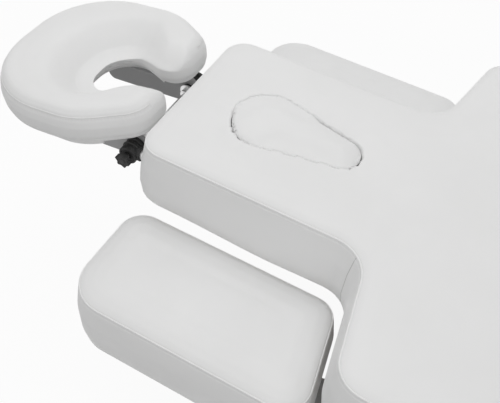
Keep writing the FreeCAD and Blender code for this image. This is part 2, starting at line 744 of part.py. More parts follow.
def build_control():
    """Control box under the foot end of the lift frame, with its power inlet."""
    half = CONTROL_WIDTH / 2
    end = control_start + CONTROL_LENGTH
    bottom = lift_bottom - CONTROL_HEIGHT
    plan = rectangle(control_start, end, -half, half, CONTROL_CORNER, CONTROL_CORNER)
    write("control_box", prism(plan, 0, bottom, lift_bottom))
    middle = bottom + CONTROL_HEIGHT / 2
    inlet_half = INLET_WIDTH / 2
    z0 = middle - INLET_HEIGHT / 2
    z1 = middle + INLET_HEIGHT / 2
    shell = box(end, end + INLET_DEPTH, -inlet_half, inlet_half, z0, z1)
    well_half = inlet_half - INLET_WALL
    well_end = end + INLET_DEPTH + OVERRUN
    well = box(end + INLET_WALL, well_end, -well_half, well_half, z0 + INLET_WALL, z1 - INLET_WALL)
    write("power_inlet", shell.cut(well))


def section_frame(hinge_x, moving, far_end, range_deg, extra):
    """Ladder frame of a moving section, with hinge ears and drive levers."""
    near = hinge_x + moving * RISER_OFFSET
    inner = near + moving * SECTION_TUBE
    end = far_end - moving * SECTION_TUBE
    half = SECTION_TUBE / 2
    levels = (section_bottom, board_bottom)
    pieces = [tube_y(min(near, inner), max(near, inner), -CROSSBAR_HALF, CROSSBAR_HALF, *levels)]
    for y in (SECTION_RAIL_Y, -SECTION_RAIL_Y):
        pieces.append(tube_x(min(inner, far_end), max(inner, far_end), y - half, y + half, *levels))
    between = SECTION_RAIL_Y - half
    pieces.append(tube_y(min(end, far_end), max(end, far_end), -between, between, *levels))
    pieces += moving_ears(hinge_x, moving)
    pieces += levers(hinge_x, moving, range_deg)
    return fused(pieces + extra)


upper_pivot_z = TABLE_HEIGHT - ARM_PIVOT_DEPTH
lower_pivot_z = upper_pivot_z - LINK_SPACING
link_swing = math.asin(ARM_DROP / 2 / LINK_LENGTH)
carrier_x = ARM_PIVOT_X - LINK_LENGTH * math.cos(link_swing)
bracket_y = LINK_WIDTH / 2 + LINK_SIDE_GAP
arm_link_y = OUTRIGGER_HALF - OUTRIGGER_LIP - BRACKET_THICK - bracket_y


def hanging_plates(x, z_top, z_low):
    """Pair of near-side plates on both sides of the links, rounded at the lower end."""
    half = BRACKET_WIDTH / 2
    plates = []
    for y in (-arm_link_y - bracket_y - BRACKET_THICK, -arm_link_y + bracket_y):
        plate = box(x - half, x + half, y, y + BRACKET_THICK, z_low, z_top)
        plates.append(fused([plate, bar_y(x, y, y + BRACKET_THICK, z_low, half)]))
    return plates


def pivot_pin(x, z):
    """Near-side pin through a pair of hanging plates."""
    reach = bracket_y + BRACKET_THICK + PIN_OVERHANG
    return bar_y(x, -arm_link_y - reach, -arm_link_y + reach, z, LINK_PIN_RADIUS)


def arm_brackets():
    """Outrigger crossbar of the back frame with the hanging plates that carry the armrest links."""
    half = SECTION_TUBE / 2
    x0 = ARM_PIVOT_X - half
    x1 = ARM_PIVOT_X + half
    pieces = []
    for y0, y1 in ((-OUTRIGGER_HALF, -SECTION_RAIL_Y - half), (SECTION_RAIL_Y + half, OUTRIGGER_HALF)):
        pieces.append(tube_y(x0, x1, y0, y1, section_bottom, board_bottom))
    between = SECTION_RAIL_Y - half
    pieces.append(tube_y(x0, x1, -between, between, section_bottom, board_bottom))
    for plate in hanging_plates(ARM_PIVOT_X, section_bottom, lower_pivot_z):
        for z in (upper_pivot_z, lower_pivot_z):
            plate = plate.cut(pivot_pin(ARM_PIVOT_X, z))
        pieces.append(plate)
        pieces.append(mirrored(plate))
    return pieces


def arm_link(z):
    """Near-side link: a plate between two pin eyes, hanging down towards the armrest."""
    half = LINK_WIDTH / 2
    web = box(-LINK_LENGTH, 0, -half, half, -LINK_THICK / 2, LINK_THICK / 2)
    eyes = [bar_y(x, -half, half, 0, LINK_EYE_RADIUS) for x in (0, -LINK_LENGTH)]
    link = fused([web] + eyes)
    bore = LINK_PIN_RADIUS + RUN_CLEARANCE
    for x in (0, -LINK_LENGTH):
        link = link.cut(bar_y(x, -half - OVERRUN, half + OVERRUN, 0, bore))
    link.rotate(Vector(0, 0, 0), Vector(0, 1, 0), -math.degrees(link_swing))
    return link.translated(Vector(ARM_PIVOT_X, -arm_link_y, z))


def build_armrests():
    """Both armrests: pad, board, carrier and the two parallel links that lower them."""
    top = TABLE_HEIGHT - ARM_DROP
    pad = cushion(arm_corners, top, ARM_THICK, ARM_BULGE, ARM_DEPTH_SHARES, ARM_INSET_SHARES)
    arm_board_top = top - ARM_THICK - REST_GAP
    arm_board_bottom = arm_board_top - ARM_BOARD_THICK
    board = prism(arm_corners, ARM_BOARD_INSET, arm_board_bottom, arm_board_top)
    plate_bottom = arm_board_bottom - CARRIER_PLATE_THICK
    half_x = CARRIER_LENGTH / 2
    half_y = bracket_y + BRACKET_THICK
    plan = rectangle(carrier_x - half_x, carrier_x + half_x, -arm_link_y - half_y, half_y - arm_link_y,
                     LINK_EYE_RADIUS, LINK_EYE_RADIUS)
    pieces = [prism(plan, 0, plate_bottom, arm_board_bottom)]
    pieces += hanging_plates(carrier_x, plate_bottom, lower_pivot_z - ARM_DROP / 2)
    pieces += [pivot_pin(carrier_x, z - ARM_DROP / 2) for z in (upper_pivot_z, lower_pivot_z)]
    carrier = fused(pieces)
    near = {
        "armrest_cushion": pad,
        "armrest_board": board,
        "armrest_carrier": carrier,
        "armrest_upper_link": arm_link(upper_pivot_z),
        "armrest_lower_link": arm_link(lower_pivot_z),
    }
    for name, shape in near.items():
        write(name + "_near", shape)
        write(name + "_far", mirrored(shape))
    pins = [pivot_pin(ARM_PIVOT_X, z) for z in (upper_pivot_z, lower_pivot_z)]
    write("armrest_frame_pins", pins + [mirrored(pin) for pin in pins])
    knob_y = -arm_link_y + bracket_y + BRACKET_THICK + PIN_OVERHANG + REST_GAP
    knob = star_knob(ARM_PIVOT_X, knob_y, upper_pivot_z, 1)
    write("armrest_knob_near", knob)
    write("armrest_knob_far", mirrored(knob))


def star_knob(x, y, z, toward):
    """Star grip with a round core and lobes, standing out along Y from its clamped face."""
    far = y + toward * KNOB_THICK
    grip = [bar_y(x, y, far, z, KNOB_RADIUS * KNOB_CORE_SHARE)]
    place = KNOB_RADIUS * KNOB_LOBE_PLACE_SHARE
    for index in range(KNOB_LOBES):
        angle = 2 * math.pi * index / KNOB_LOBES
        lobe_x = x + place * math.cos(angle)
        lobe_z = z + place * math.sin(angle)
        grip.append(bar_y(lobe_x, y + toward * KNOB_THICK / 4, far, lobe_z, KNOB_RADIUS * KNOB_LOBE_SHARE))
    return fused(grip)


def socket_cuts(radius):
    """Round cuts along both post sockets, from outside the head end."""
    end = SOCKET_LENGTH + REST_GAP
    return [bar_x(-PAD_BULGE - OVERRUN, end, y, tilt_z, radius) for y in (-POST_Y, POST_Y)]


def build_backrest():
    """Backrest: pad with face hole, board, frame, and the head rail with its post sockets."""
    pad = cushion(back_corners, TABLE_HEIGHT, PAD_THICK, PAD_BULGE, PAD_DEPTH_SHARES, PAD_INSET_SHARES)
    plug_floor = TABLE_HEIGHT + PLUG_RISE - PLUG_DEPTH - REST_GAP
    dish_rim = outline(plug_corners, -DISH_WIDTH, TABLE_HEIGHT)
    dish_floor = outline(plug_corners, -PLUG_CLEARANCE, TABLE_HEIGHT - DISH_DEPTH)
    dish = Part.makeLoft([dish_floor, dish_rim], True, True)
    hole = prism(plug_corners, -PLUG_CLEARANCE, plug_floor, TABLE_HEIGHT)
    throat = prism(plug_corners, PLUG_LEDGE, board_bottom - OVERRUN, TABLE_HEIGHT)
    rail_end = HEAD_RAIL_START + HEAD_RAIL_DEPTH
    rail_half = HEAD_RAIL_WIDTH / 2
    rail_top = board_top + HEAD_RAIL_HEIGHT
    pocket_half = rail_half + REST_GAP
    pocket = box(HEAD_RAIL_START - REST_GAP, rail_end + REST_GAP, -pocket_half, pocket_half,
                 pad_bottom - OVERRUN, rail_top + REST_GAP)
    for tool in [dish, hole, throat, pocket] + socket_cuts(SOCKET_RADIUS + REST_GAP):
        pad = pad.cut(tool)
    write("back_cushion", pad)
    board = prism(back_corners, BOARD_INSET, board_bottom, board_top).cut(throat)
    write("back_board", board)
    rail = box(HEAD_RAIL_START, rail_end, -rail_half, rail_half, board_top, rail_top)
    rail = rail.cut(throat)
    for tool in socket_cuts(SOCKET_RADIUS):
        rail = rail.cut(tool)
    write("head_rail", rail)
    sockets = []
    for y in (-POST_Y, POST_Y):
        tube = bar_x(0, SOCKET_LENGTH, y, tilt_z, SOCKET_RADIUS)
        bore = bar_x(-OVERRUN, SOCKET_LENGTH + OVERRUN, y, tilt_z, POST_RADIUS + RUN_CLEARANCE)
        sockets.append(tube.cut(bore))
    write("post_sockets", sockets)
    write("back_frame", section_frame(back_hinge_x, -1, SECTION_RAIL_INSET, BACK_RANGE_DEG, arm_brackets()))
    plug_top = TABLE_HEIGHT + PLUG_RISE
    plug = cushion(plug_corners, plug_top, PLUG_DEPTH, DISH_DEPTH, PLUG_DEPTH_SHARES, PLUG_INSET_SHARES)
    write("face_plug", plug)


def build_seat_and_leg():
    """Fixed seat section and hinged leg section."""
    seat = cushion(seat_corners, TABLE_HEIGHT, PAD_THICK, PAD_BULGE, PAD_DEPTH_SHARES, PAD_INSET_SHARES)
    write("seat_cushion", seat)
    write("seat_board", prism(seat_corners, REST_GAP, board_bottom, board_top))
    leg = cushion(leg_corners, TABLE_HEIGHT, PAD_THICK, PAD_BULGE, PAD_DEPTH_SHARES, PAD_INSET_SHARES)
    write("leg_cushion", leg)
    write("leg_board", prism(leg_corners, BOARD_INSET, board_bottom, board_top))
    frame = section_frame(leg_hinge_x, 1, leg_end - 2 * SECTION_RAIL_INSET, LEG_RANGE_DEG, [])
    write("leg_frame", frame)


cradle_bottom = cradle_top - CRADLE_THICK
cradle_board_top = cradle_bottom - REST_GAP
cradle_board_bottom = cradle_board_top - CRADLE_BOARD_THICK
clutch_inner = POST_Y - CLUTCH_WIDTH / 2
clutch_outer = POST_Y + CLUTCH_WIDTH / 2
plate_outer = clutch_inner - SLIDE_CLEARANCE
plate_inner = plate_outer - ARM_PLATE_THICK
spacer_inner = plate_inner - SPACER_THICK
washer_inner = spacer_inner - WASHER_THICK
cap_inner = washer_inner - CAP_LENGTH


def cradle_plate():
    """Near-side arm: a plate on edge with a flange under the cushion board."""
    head = TILT_X - ARM_PLATE_LENGTH
    foot = TILT_X + ARM_PLATE_END
    profile = (
        (head, tilt_z - ARM_PLATE_BELOW, ARM_PLATE_CORNER),
        (foot, tilt_z - ARM_PLATE_BELOW, ARM_PLATE_CORNER),
        (foot, cradle_board_bottom, ARM_PLATE_CORNER),
        (head, cradle_board_bottom, ARM_PLATE_TOP_CORNER),
    )
    face = Part.Face(outline(profile, 0, 0))
    face.rotate(Vector(0, 0, 0), Vector(1, 0, 0), 90)
    plate = face.extrude(Vector(0, ARM_PLATE_THICK, 0)).translated(Vector(0, -plate_outer, 0))
    flange_inner = plate_outer - ARM_FLANGE_WIDTH
    flange = box(head + ARM_FLANGE_START, TILT_X - ARM_FLANGE_END, -plate_inner, -flange_inner,
                 cradle_board_bottom - ARM_PLATE_THICK, cradle_board_bottom)
    rod_hole = bar_y(TILT_X, -plate_outer - OVERRUN, -flange_inner, tilt_z, ROD_RADIUS)
    return fused([plate, flange]).cut(rod_hole)


def clutch_housing():
    """Near-side clutch housing with a boss that grips its post."""
    drum = bar_y(TILT_X, -clutch_outer, -clutch_inner, tilt_z, CLUTCH_RADIUS)
    boss_end = TILT_X + CLUTCH_RADIUS + CLUTCH_BOSS_LENGTH / 2
    boss = bar_x(TILT_X, boss_end, -POST_Y, tilt_z, CLUTCH_BOSS_RADIUS)
    bore = ROD_RADIUS + RUN_CLEARANCE
    rod_hole = bar_y(TILT_X, -clutch_outer - OVERRUN, OVERRUN - clutch_inner, tilt_z, bore)
    body = fused([drum, boss]).cut(rod_hole)
    return body.cut(bar_x(TILT_X + POST_SEAT, OVERRUN, -POST_Y, tilt_z, POST_RADIUS))


def tilted(shape):
    """A piece of the face cradle, turned head-down about its tilt axis."""
    turned = shape.copy()
    turned.rotate(Vector(TILT_X, 0, tilt_z), Vector(0, 1, 0), -REST_TILT_DEG)
    return turned


def build_cradle():
    """Face cradle: horseshoe cushion on two plates that tilt between clutch housings on posts."""
    shares = (CRADLE_DEPTH_SHARES, CRADLE_INSET_SHARES)
    pad = cushion(cradle_corners, cradle_top, CRADLE_THICK, CRADLE_BULGE, *shares)
    wires = []
    for depth_share, width_share in zip(HOLLOW_DEPTH_SHARES, HOLLOW_WIDTH_SHARES):
        level = cradle_top - depth_share * HOLLOW_DEPTH
        wires.append(outline(both_sides(hollow_side(width_share)), 0, level))
    write("cradle_cushion", tilted(pad.cut(Part.makeLoft(wires, True, True))))
    board = prism(cradle_corners, CRADLE_BOARD_INSET, cradle_board_bottom, cradle_board_top)
    tips = box(-CRADLE_BOARD_END, OVERRUN, -CRADLE_WIDTH, CRADLE_WIDTH, 0, cradle_top)
    write("cradle_board", tilted(board.cut(tips)))
    plate = tilted(cradle_plate())
    write("cradle_arm_near", plate)
    write("cradle_arm_far", mirrored(plate))
    spacer = bar_y(TILT_X, -plate_inner, -spacer_inner, tilt_z, SPACER_RADIUS)
    washer = bar_y(TILT_X, -spacer_inner, -washer_inner, tilt_z, WASHER_RADIUS)
    nut = fused([washer, bar_y(TILT_X, -washer_inner, -cap_inner, tilt_z, CAP_RADIUS)])
    rod_near = -clutch_outer - ROD_END
    rod_far = clutch_outer + ROD_END
    rod = bar_y(TILT_X, rod_near, rod_far, tilt_z, ROD_RADIUS)
    spacer = spacer.cut(rod)
    nut = nut.cut(rod)
    write("cradle_spacers", [spacer, mirrored(spacer)])
    write("cradle_nuts", [nut, mirrored(nut)])
    write("cradle_tie_rod", rod)
    housing = clutch_housing()
    write("clutch_housings", [housing, mirrored(housing)])
    start = TILT_X + POST_SEAT
    posts = [bar_x(start, start + POST_LENGTH, y, tilt_z, POST_RADIUS) for y in (-POST_Y, POST_Y)]
    write("cradle_posts", posts)
    knob = star_knob(TILT_X, -clutch_outer - SLIDE_CLEARANCE, tilt_z, -1)
    bore = bar_y(TILT_X, rod_near - REST_GAP, 0, tilt_z, ROD_RADIUS + RUN_CLEARANCE)
    write("cradle_knob", knob.cut(bore))


def main():
    """Build every piece of the table."""
    build_base()
    build_columns()
    build_lift_frame()
    build_drive()
    build_control()
    build_backrest()
    build_seat_and_leg()
    build_armrests()
    build_cradle()


main()
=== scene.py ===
"""Electric treatment table: padded pieces, hardware, finishes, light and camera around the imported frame."""

import json
import logging
import math
from collections.abc import Callable, Iterator
from contextlib import contextmanager
from dataclasses import dataclass, field
from enum import Enum

import bpy
import numpy as np
from mathutils import Matrix, Vector
from mathutils.bvhtree import BVHTree
from mathutils.kdtree import KDTree


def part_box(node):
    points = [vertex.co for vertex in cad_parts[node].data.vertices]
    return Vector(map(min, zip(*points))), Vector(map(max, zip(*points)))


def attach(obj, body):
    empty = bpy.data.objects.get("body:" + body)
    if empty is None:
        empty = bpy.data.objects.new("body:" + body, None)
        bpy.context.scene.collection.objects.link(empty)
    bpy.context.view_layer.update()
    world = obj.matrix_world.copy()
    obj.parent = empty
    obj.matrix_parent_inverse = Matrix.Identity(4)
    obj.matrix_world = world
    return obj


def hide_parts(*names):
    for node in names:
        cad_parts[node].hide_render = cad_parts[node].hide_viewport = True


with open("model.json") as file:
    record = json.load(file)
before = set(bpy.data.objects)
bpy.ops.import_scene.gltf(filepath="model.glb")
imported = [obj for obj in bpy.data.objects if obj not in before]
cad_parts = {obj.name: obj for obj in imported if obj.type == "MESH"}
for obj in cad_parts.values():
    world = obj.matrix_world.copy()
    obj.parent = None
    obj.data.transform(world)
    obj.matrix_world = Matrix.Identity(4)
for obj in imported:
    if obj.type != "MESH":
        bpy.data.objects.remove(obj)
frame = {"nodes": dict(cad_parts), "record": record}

LOG = logging.getLogger("treatment_table")
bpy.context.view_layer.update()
HEAD_EDGE_X = -0.75359
CRADLE_AXIS = Vector((HEAD_EDGE_X - 0.054, 0, 0.538))
CRADLE_TILT = math.radians(7)
PLUG_OFFSET = -0.007

MERGE_DISTANCE = 0.00002
SHADE_ANGLE = math.radians(55)
BEVEL_ANGLE = math.radians(35)
SMOOTH_ANGLE = math.radians(40)
RELAX_TURNS = 3
RELAX_FACTOR = 0.5
CAST_LENGTH = 0.06
LINE_REACH = 0.1
ALONG = 0.9
MIX_FIRST, MIX_SECOND, MIX_RESULT = 6, 7, 2

Piece = bpy.types.Object
Node = bpy.types.Node
Color = tuple[float, float, float, float]
Span = tuple[float, float]
Stretch = tuple[float, float, float]
Corners = tuple[tuple[float, float, float], ...]


class Side(Enum):
    """Long side of the table, with the sign of its Y coordinate."""

    NEAR = -1
    FAR = 1

    @property
    def word(self) -> str:
        """Name of the side in the frame's nodes and bodies."""
        return self.name.lower()


class Edge(Enum):
    """How a pad meets its piping: a sewn welt, or a plain sewn edge."""

    WELT = "welt"
    PLAIN = "plain"


class Graph:
    """Node tree of one material, with a shader and an output."""

    def __init__(self, name: str) -> None:
        """Start an empty tree.

        Args:
            name: Name of the material.
        """
        self.material = bpy.data.materials.new(name)
        self.material.use_nodes = True
        self.nodes = self.material.node_tree.nodes
        self.nodes.clear()
        self.shader = self.add("ShaderNodeBsdfPrincipled")
        output = self.add("ShaderNodeOutputMaterial")
        self.link(self.shader, "BSDF", output, "Surface")
        self.place = self.add("ShaderNodeTexCoord")

    def add(self, kind: str, **inputs: object) -> Node:
        """Add a node and set its properties and inputs.

        Args:
            kind: Node type.
            inputs: Property or input names, with underscores for spaces.

        Returns:
            The new node.
        """
        node = self.nodes.new(kind)
        for name, value in inputs.items():
            title = name.replace("_", " ")
            if title in node.inputs:
                node.inputs[title].default_value = value
            else:
                setattr(node, name, value)
        return node

    def link(self, source: Node, output: str, target: Node, entry: str) -> None:
        """Join an output of one node to an input of another."""
        self.material.node_tree.links.new(source.outputs[output], target.inputs[entry])

    def noise(self, scale: float, detail: float, stretch: Stretch = (1, 1, 1)) -> Node:
        """Noise on object coordinates, stretched along the axes."""
        mapping = self.add("ShaderNodeMapping", Scale=stretch)
        self.link(self.place, "Object", mapping, "Vector")
        texture = self.add("ShaderNodeTexNoise", Scale=scale, Detail=detail)
        self.link(mapping, "Vector", texture, "Vector")
        return texture

    def cells(self, scale: float) -> Node:
        """Cell pattern on object coordinates."""
        texture = self.add("ShaderNodeTexVoronoi", Scale=scale)
        self.link(self.place, "Object", texture, "Vector")
        return texture

    def ramp(
        self, source: Node, output: str, low: Color, high: Color, span: Span,
    ) -> Node:
        """Colour ramp between two colours.

        Args:
            source: Node that drives the ramp.
            output: Its output.
            low: Colour at the start of the span.
            high: Colour at its end.
            span: Places of the two colours.

        Returns:
            The ramp node.
        """
        node = self.add("ShaderNodeValToRGB")
        for element, color, where in zip(node.color_ramp.elements, (low, high), span):
            element.color = color
            element.position = where
        self.link(source, output, node, "Fac")
        return node

    def ranged(self, source: Node, output: str, low: float, high: float) -> Node:
        """Map a value from 0.3 to 0.7 onto a range."""
        node = self.add("ShaderNodeMapRange", From_Min=0.3, From_Max=0.7, To_Min=low, To_Max=high)
        self.link(source, output, node, "Value")
        return node

    def multiply(self, tint: Node) -> Node:
        """Node that darkens a colour on its way to the shader."""
        node = self.add("ShaderNodeMix", data_type="RGBA", blend_type="MULTIPLY")
        links = self.material.node_tree.links
        links.new(tint.outputs["Color"], node.inputs[MIX_FIRST])
        links.new(node.outputs[MIX_RESULT], self.shader.inputs["Base Color"])
        return node

    def bump(self, layers: list[tuple[Node, str, float, float]]) -> None:
        """Stack bump layers on the shader's normal.

        Args:
            layers: Height node, its output, strength and distance of each layer.
        """
        last = None
        for source, output, strength, distance in layers:
            node = self.add("ShaderNodeBump", Strength=strength, Distance=distance)
            self.link(source, output, node, "Height")
            if last:
                self.link(last, "Normal", node, "Normal")
            last = node
        self.link(last, "Normal", self.shader, "Normal")


@dataclass(frozen=True)
class Finish:
    """One material of the table."""

    name: str
    color: Color
    shade: Color
    roughness: Span

    def material(self) -> bpy.types.Material:
        """The finish's material, made once."""
        found = bpy.data.materials.get(self.name)
        return found if found else self.make()

    def make(self) -> bpy.types.Material:
        """Build the node tree."""
        raise NotImplementedError

    def start(self, scale: float, detail: float, stretch: Stretch = (1, 1, 1)) -> Graph:
        """Graph whose colour and roughness vary with one noise.

        Args:
            scale: Scale of the noise.
            detail: Detail of the noise.
            stretch: Stretch along the axes.

        Returns:
            The graph, for bump and further layers.
        """
        graph = Graph(self.name)
        noise = graph.noise(scale, detail, stretch)
        tint = graph.ramp(noise, "Fac", self.shade, self.color, (0.3, 0.62))
        graph.link(tint, "Color", graph.shader, "Base Color")
        gloss = graph.ranged(noise, "Fac", *self.roughness)
        graph.link(gloss, "Result", graph.shader, "Roughness")
        return graph


@dataclass(frozen=True)
class Leather(Finish):
    """Coated upholstery cloth with a fine grain."""

    grain: float = 620.0
    seam_tint: Color = (0.74, 0.735, 0.73, 1)
    gloss: float = 0.42

    def make(self) -> bpy.types.Material:
        """Grain of small cells over a soft unevenness, with painted shade darkening the colour along the seam
        grooves.
        """
        graph = Graph(self.name)
        mottle = graph.noise(9.0, 3.0)
        tint = graph.ramp(mottle, "Fac", self.shade, self.color, (0.25, 0.7))
        # Painted shade: where the seam attribute is set, in the sewn grooves and on the shoulder seam cords,
        # the colour is multiplied by the darker seam tint.
        seam = graph.add("ShaderNodeAttribute", attribute_name="seam")
        mixed = graph.multiply(tint)
        graph.link(seam, "Fac", mixed, "Factor")
        mixed.inputs[MIX_SECOND].default_value = self.seam_tint
        rub = graph.noise(38.0, 4.0)
        gloss = graph.ranged(rub, "Fac", *self.roughness)
        graph.link(gloss, "Result", graph.shader, "Roughness")
        graph.shader.inputs["Specular IOR Level"].default_value = self.gloss
        cells = graph.cells(self.grain)
        pores = graph.noise(self.grain * 2, 2.0)
        soft = graph.noise(26.0, 2.0)
        graph.bump([
            (soft, "Fac", 0.10, 0.0012),
            (cells, "Distance", 0.10, 0.0004),
            (pores, "Fac", 0.06, 0.0002),
        ])
        return graph.material


@dataclass(frozen=True)
class Paint(Finish):
    """Powder coat with a fine orange peel."""

    def make(self) -> bpy.types.Material:
        """Slight cloudiness and a fine uneven skin."""
        graph = self.start(7.0, 4.0)
        graph.bump([(graph.noise(520.0, 2.0), "Fac", 0.10, 0.0003)])
        return graph.material


@dataclass(frozen=True)
class Metal(Finish):
    """Bare or plated steel with drawn marks along one axis."""

    stretch: Stretch = (1.0, 1.0, 1.0)

    def make(self) -> bpy.types.Material:
        """Streaks along the drawn direction over a soft stain."""
        graph = self.start(14.0, 5.0)
        graph.shader.inputs["Metallic"].default_value = 1.0
        graph.bump([(graph.noise(240.0, 3.0, self.stretch), "Fac", 0.10, 0.0003)])
        return graph.material


@dataclass(frozen=True)
class Moulded(Finish):
    """Moulded plastic or rubber with a spark-eroded skin."""

    texture: float = 900.0
    depth: float = 0.16
    gloss: float = 0.3

    def make(self) -> bpy.types.Material:
        """Fine pitted skin and rubbed patches."""
        graph = self.start(30.0, 4.0)
        graph.shader.inputs["Specular IOR Level"].default_value = self.gloss
        graph.bump([
            (graph.noise(self.texture, 2.0), "Fac", self.depth, 0.0003),
            (graph.cells(self.texture * 0.6), "Distance", self.depth, 0.0002),
        ])
        return graph.material


@dataclass(frozen=True)
class Plywood(Finish):
    """Birch ply: long grain on the faces, thin plies at the edges."""

    glue_lines: float = 0.35

    def make(self) -> bpy.types.Material:
        """Stretched grain, with darker glue lines at each ply."""
        graph = Graph(self.name)
        grain = graph.noise(60.0, 6.0, (0.06, 1.0, 1.0))
        tint = graph.ramp(grain, "Fac", self.shade, self.color, (0.3, 0.68))
        plies = graph.add("ShaderNodeTexWave", Scale=105.0, Distortion=0.4, bands_direction="Z")
        graph.link(graph.place, "Object", plies, "Vector")
        mixed = graph.multiply(tint)
        mixed.inputs["Factor"].default_value = self.glue_lines
        graph.material.node_tree.links.new(plies.outputs["Color"], mixed.inputs[MIX_SECOND])
        gloss = graph.ranged(grain, "Fac", *self.roughness)
        graph.link(gloss, "Result", graph.shader, "Roughness")
        graph.bump([(grain, "Fac", 0.2, 0.0004)])
        return graph.material


LEATHER = Leather("white_upholstery", (0.88, 0.88, 0.878, 1), (0.855, 0.855, 0.852, 1), (0.44, 0.56))
SLOT_FINISHES: dict[str, Finish] = {
    "upholstery": LEATHER,
    "plywood": Plywood("birch_ply", (0.62, 0.46, 0.29, 1), (0.47, 0.32, 0.18, 1), (0.5, 0.7)),
    "frame_steel": Paint("powder_coat", (0.56, 0.57, 0.58, 1), (0.50, 0.51, 0.52, 1), (0.36, 0.5)),
    "bare_steel": Metal(
        "drawn_steel", (0.86, 0.86, 0.86, 1), (0.74, 0.74, 0.74, 1), (0.34, 0.5), (0.05, 1, 1),
    ),
    "sheet_steel": Paint("plate_grey", (0.42, 0.42, 0.424, 1), (0.37, 0.37, 0.374, 1), (0.38, 0.52)),
    "column": Paint("column_silver", (0.66, 0.67, 0.68, 1), (0.58, 0.59, 0.60, 1), (0.3, 0.42)),
    "black_plastic": Moulded(
        "black_plastic", (0.010, 0.010, 0.0105, 1), (0.006, 0.006, 0.0065, 1), (0.38, 0.54),
    ),
    "nylon": Moulded("nylon", (0.70, 0.69, 0.66, 1), (0.61, 0.60, 0.57, 1), (0.42, 0.55), 500.0, 0.08),
    "rubber": Moulded(
        "rubber", (0.025, 0.025, 0.025, 1), (0.016, 0.016, 0.016, 1), (0.62, 0.8), 700.0, 0.2,
    ),
}


@dataclass(frozen=True)
class Outline:
    """Closed plan line of straight runs and rounded corners (x, y, radius), counter-clockwise."""

    corners: Corners
    step: float = 0.005
    least_radius: float = 0.15
    points_per_radian: int = 10

    def points(self, inset: float = 0.0) -> np.ndarray:
        """Points along the line, drawn in by inset.

        Args:
            inset: Distance to draw the line in.

        Returns:
            Array of x, y points.
        """
        count = len(self.corners)
        sides = []
        for index, start in enumerate(self.corners):
            end = self.corners[(index + 1) % count]
            run = np.array([end[0] - start[0], end[1] - start[1]])
            run /= np.hypot(*run)
            inward = np.array([-run[1], run[0]])
            sides.append((np.array(start[:2]) + inward * inset, run))
        found: list[np.ndarray] = []
        for index, corner in enumerate(self.corners):
            found += self._bend(sides[index - 1], sides[index], corner[2], inset)
        return self._even(np.array(found))

    def _bend(self, side_in: tuple, side_out: tuple, radius: float, inset: float) -> list[np.ndarray]:
        """Points round one corner between two sides."""
        (point_in, run_in), (point_out, run_out) = side_in, side_out
        cross = run_in[0] * run_out[1] - run_in[1] * run_out[0]
        offset = point_out - point_in
        along = (offset[0] * run_out[1] - offset[1] * run_out[0]) / cross
        corner = point_in + run_in * along
        turn = abs(math.atan2(cross, float(run_in @ run_out)))
        drawn = max(radius - math.copysign(1, cross) * inset, radius * self.least_radius)
        toward = run_out - run_in
        centre = corner + toward / np.hypot(*toward) * drawn / math.cos(turn / 2)
        enter = corner - run_in * drawn * math.tan(turn / 2) - centre
        points = []
        for share in np.linspace(0, 1, max(4, int(turn * self.points_per_radian))):
            angle = math.copysign(turn * share, cross)
            c, s = math.cos(angle), math.sin(angle)
            points.append(centre + np.array([c * enter[0] - s * enter[1], s * enter[0] + c * enter[1]]))
        return points

    def _even(self, points: np.ndarray) -> np.ndarray:
        """The same line with points at an even step."""
        closed = np.vstack([points, points[:1]])
        lengths = np.hypot(*np.diff(closed, axis=0).T)
        reach = np.concatenate([[0], np.cumsum(lengths)])
        count = max(8, int(round(reach[-1] / self.step)))
        places = np.linspace(0, reach[-1], count, endpoint=False)
        return np.stack([np.interp(places, reach, closed[:, k]) for k in (0, 1)], -1)

    def mirrored(self) -> "Outline":
        """The same outline on the far side of the table."""
        return Outline(tuple((x, -y, r) for x, y, r in reversed(self.corners)), self.step)


def alone(obj: Piece) -> Piece:
    """Select one object and make it active."""
    bpy.ops.object.select_all(action="DESELECT")
    obj.select_set(True)
    bpy.context.view_layer.objects.active = obj
    return obj


def apply_all(obj: Piece) -> None:
    """Apply every modifier of an object."""
    alone(obj)
    for modifier in list(obj.modifiers):
        bpy.ops.object.modifier_apply(modifier=modifier.name)


def settle(obj: Piece, name: str) -> Piece:
    """Name an object and put its place into its mesh."""
    alone(obj)
    bpy.ops.object.transform_apply(location=True, rotation=True, scale=True)
    obj.name = name
    obj.data.name = name
    return obj


def coordinates(obj: Piece) -> np.ndarray:
    """Vertex places of a mesh object."""
    flat = np.empty(len(obj.data.vertices) * 3, np.float32)
    obj.data.vertices.foreach_get("co", flat)
    return flat.reshape(-1, 3).astype(float)


def normals(obj: Piece) -> np.ndarray:
    """Vertex normals of a mesh object."""
    flat = np.empty(len(obj.data.vertices) * 3, np.float32)
    obj.data.vertex_normals.foreach_get("vector", flat)
    return flat.reshape(-1, 3).astype(float)


def put(obj: Piece, places: np.ndarray) -> None:
    """Move the vertices of a mesh object."""
    obj.data.vertices.foreach_set("co", places.astype(np.float32).ravel())
    obj.data.update()


def tree_of(points: np.ndarray) -> KDTree:
    """Search tree of points, in two or three dimensions."""
    tree = KDTree(len(points))
    for index, point in enumerate(np.pad(points, ((0, 0), (0, 3 - points.shape[1])))):
        tree.insert(point, index)
    tree.balance()
    return tree


def distances(places: np.ndarray, line: np.ndarray) -> np.ndarray:
    """Distance from each place to the nearest point of a line.

    Args:
        places: Points, in two or three dimensions.
        line: Points along the line.

    Returns:
        Array of distances.
    """
    tree, width = tree_of(line), line.shape[1]
    wanted = np.pad(places[:, :width], ((0, 0), (0, 3 - width)))
    return np.array([tree.find(point)[2] for point in wanted])


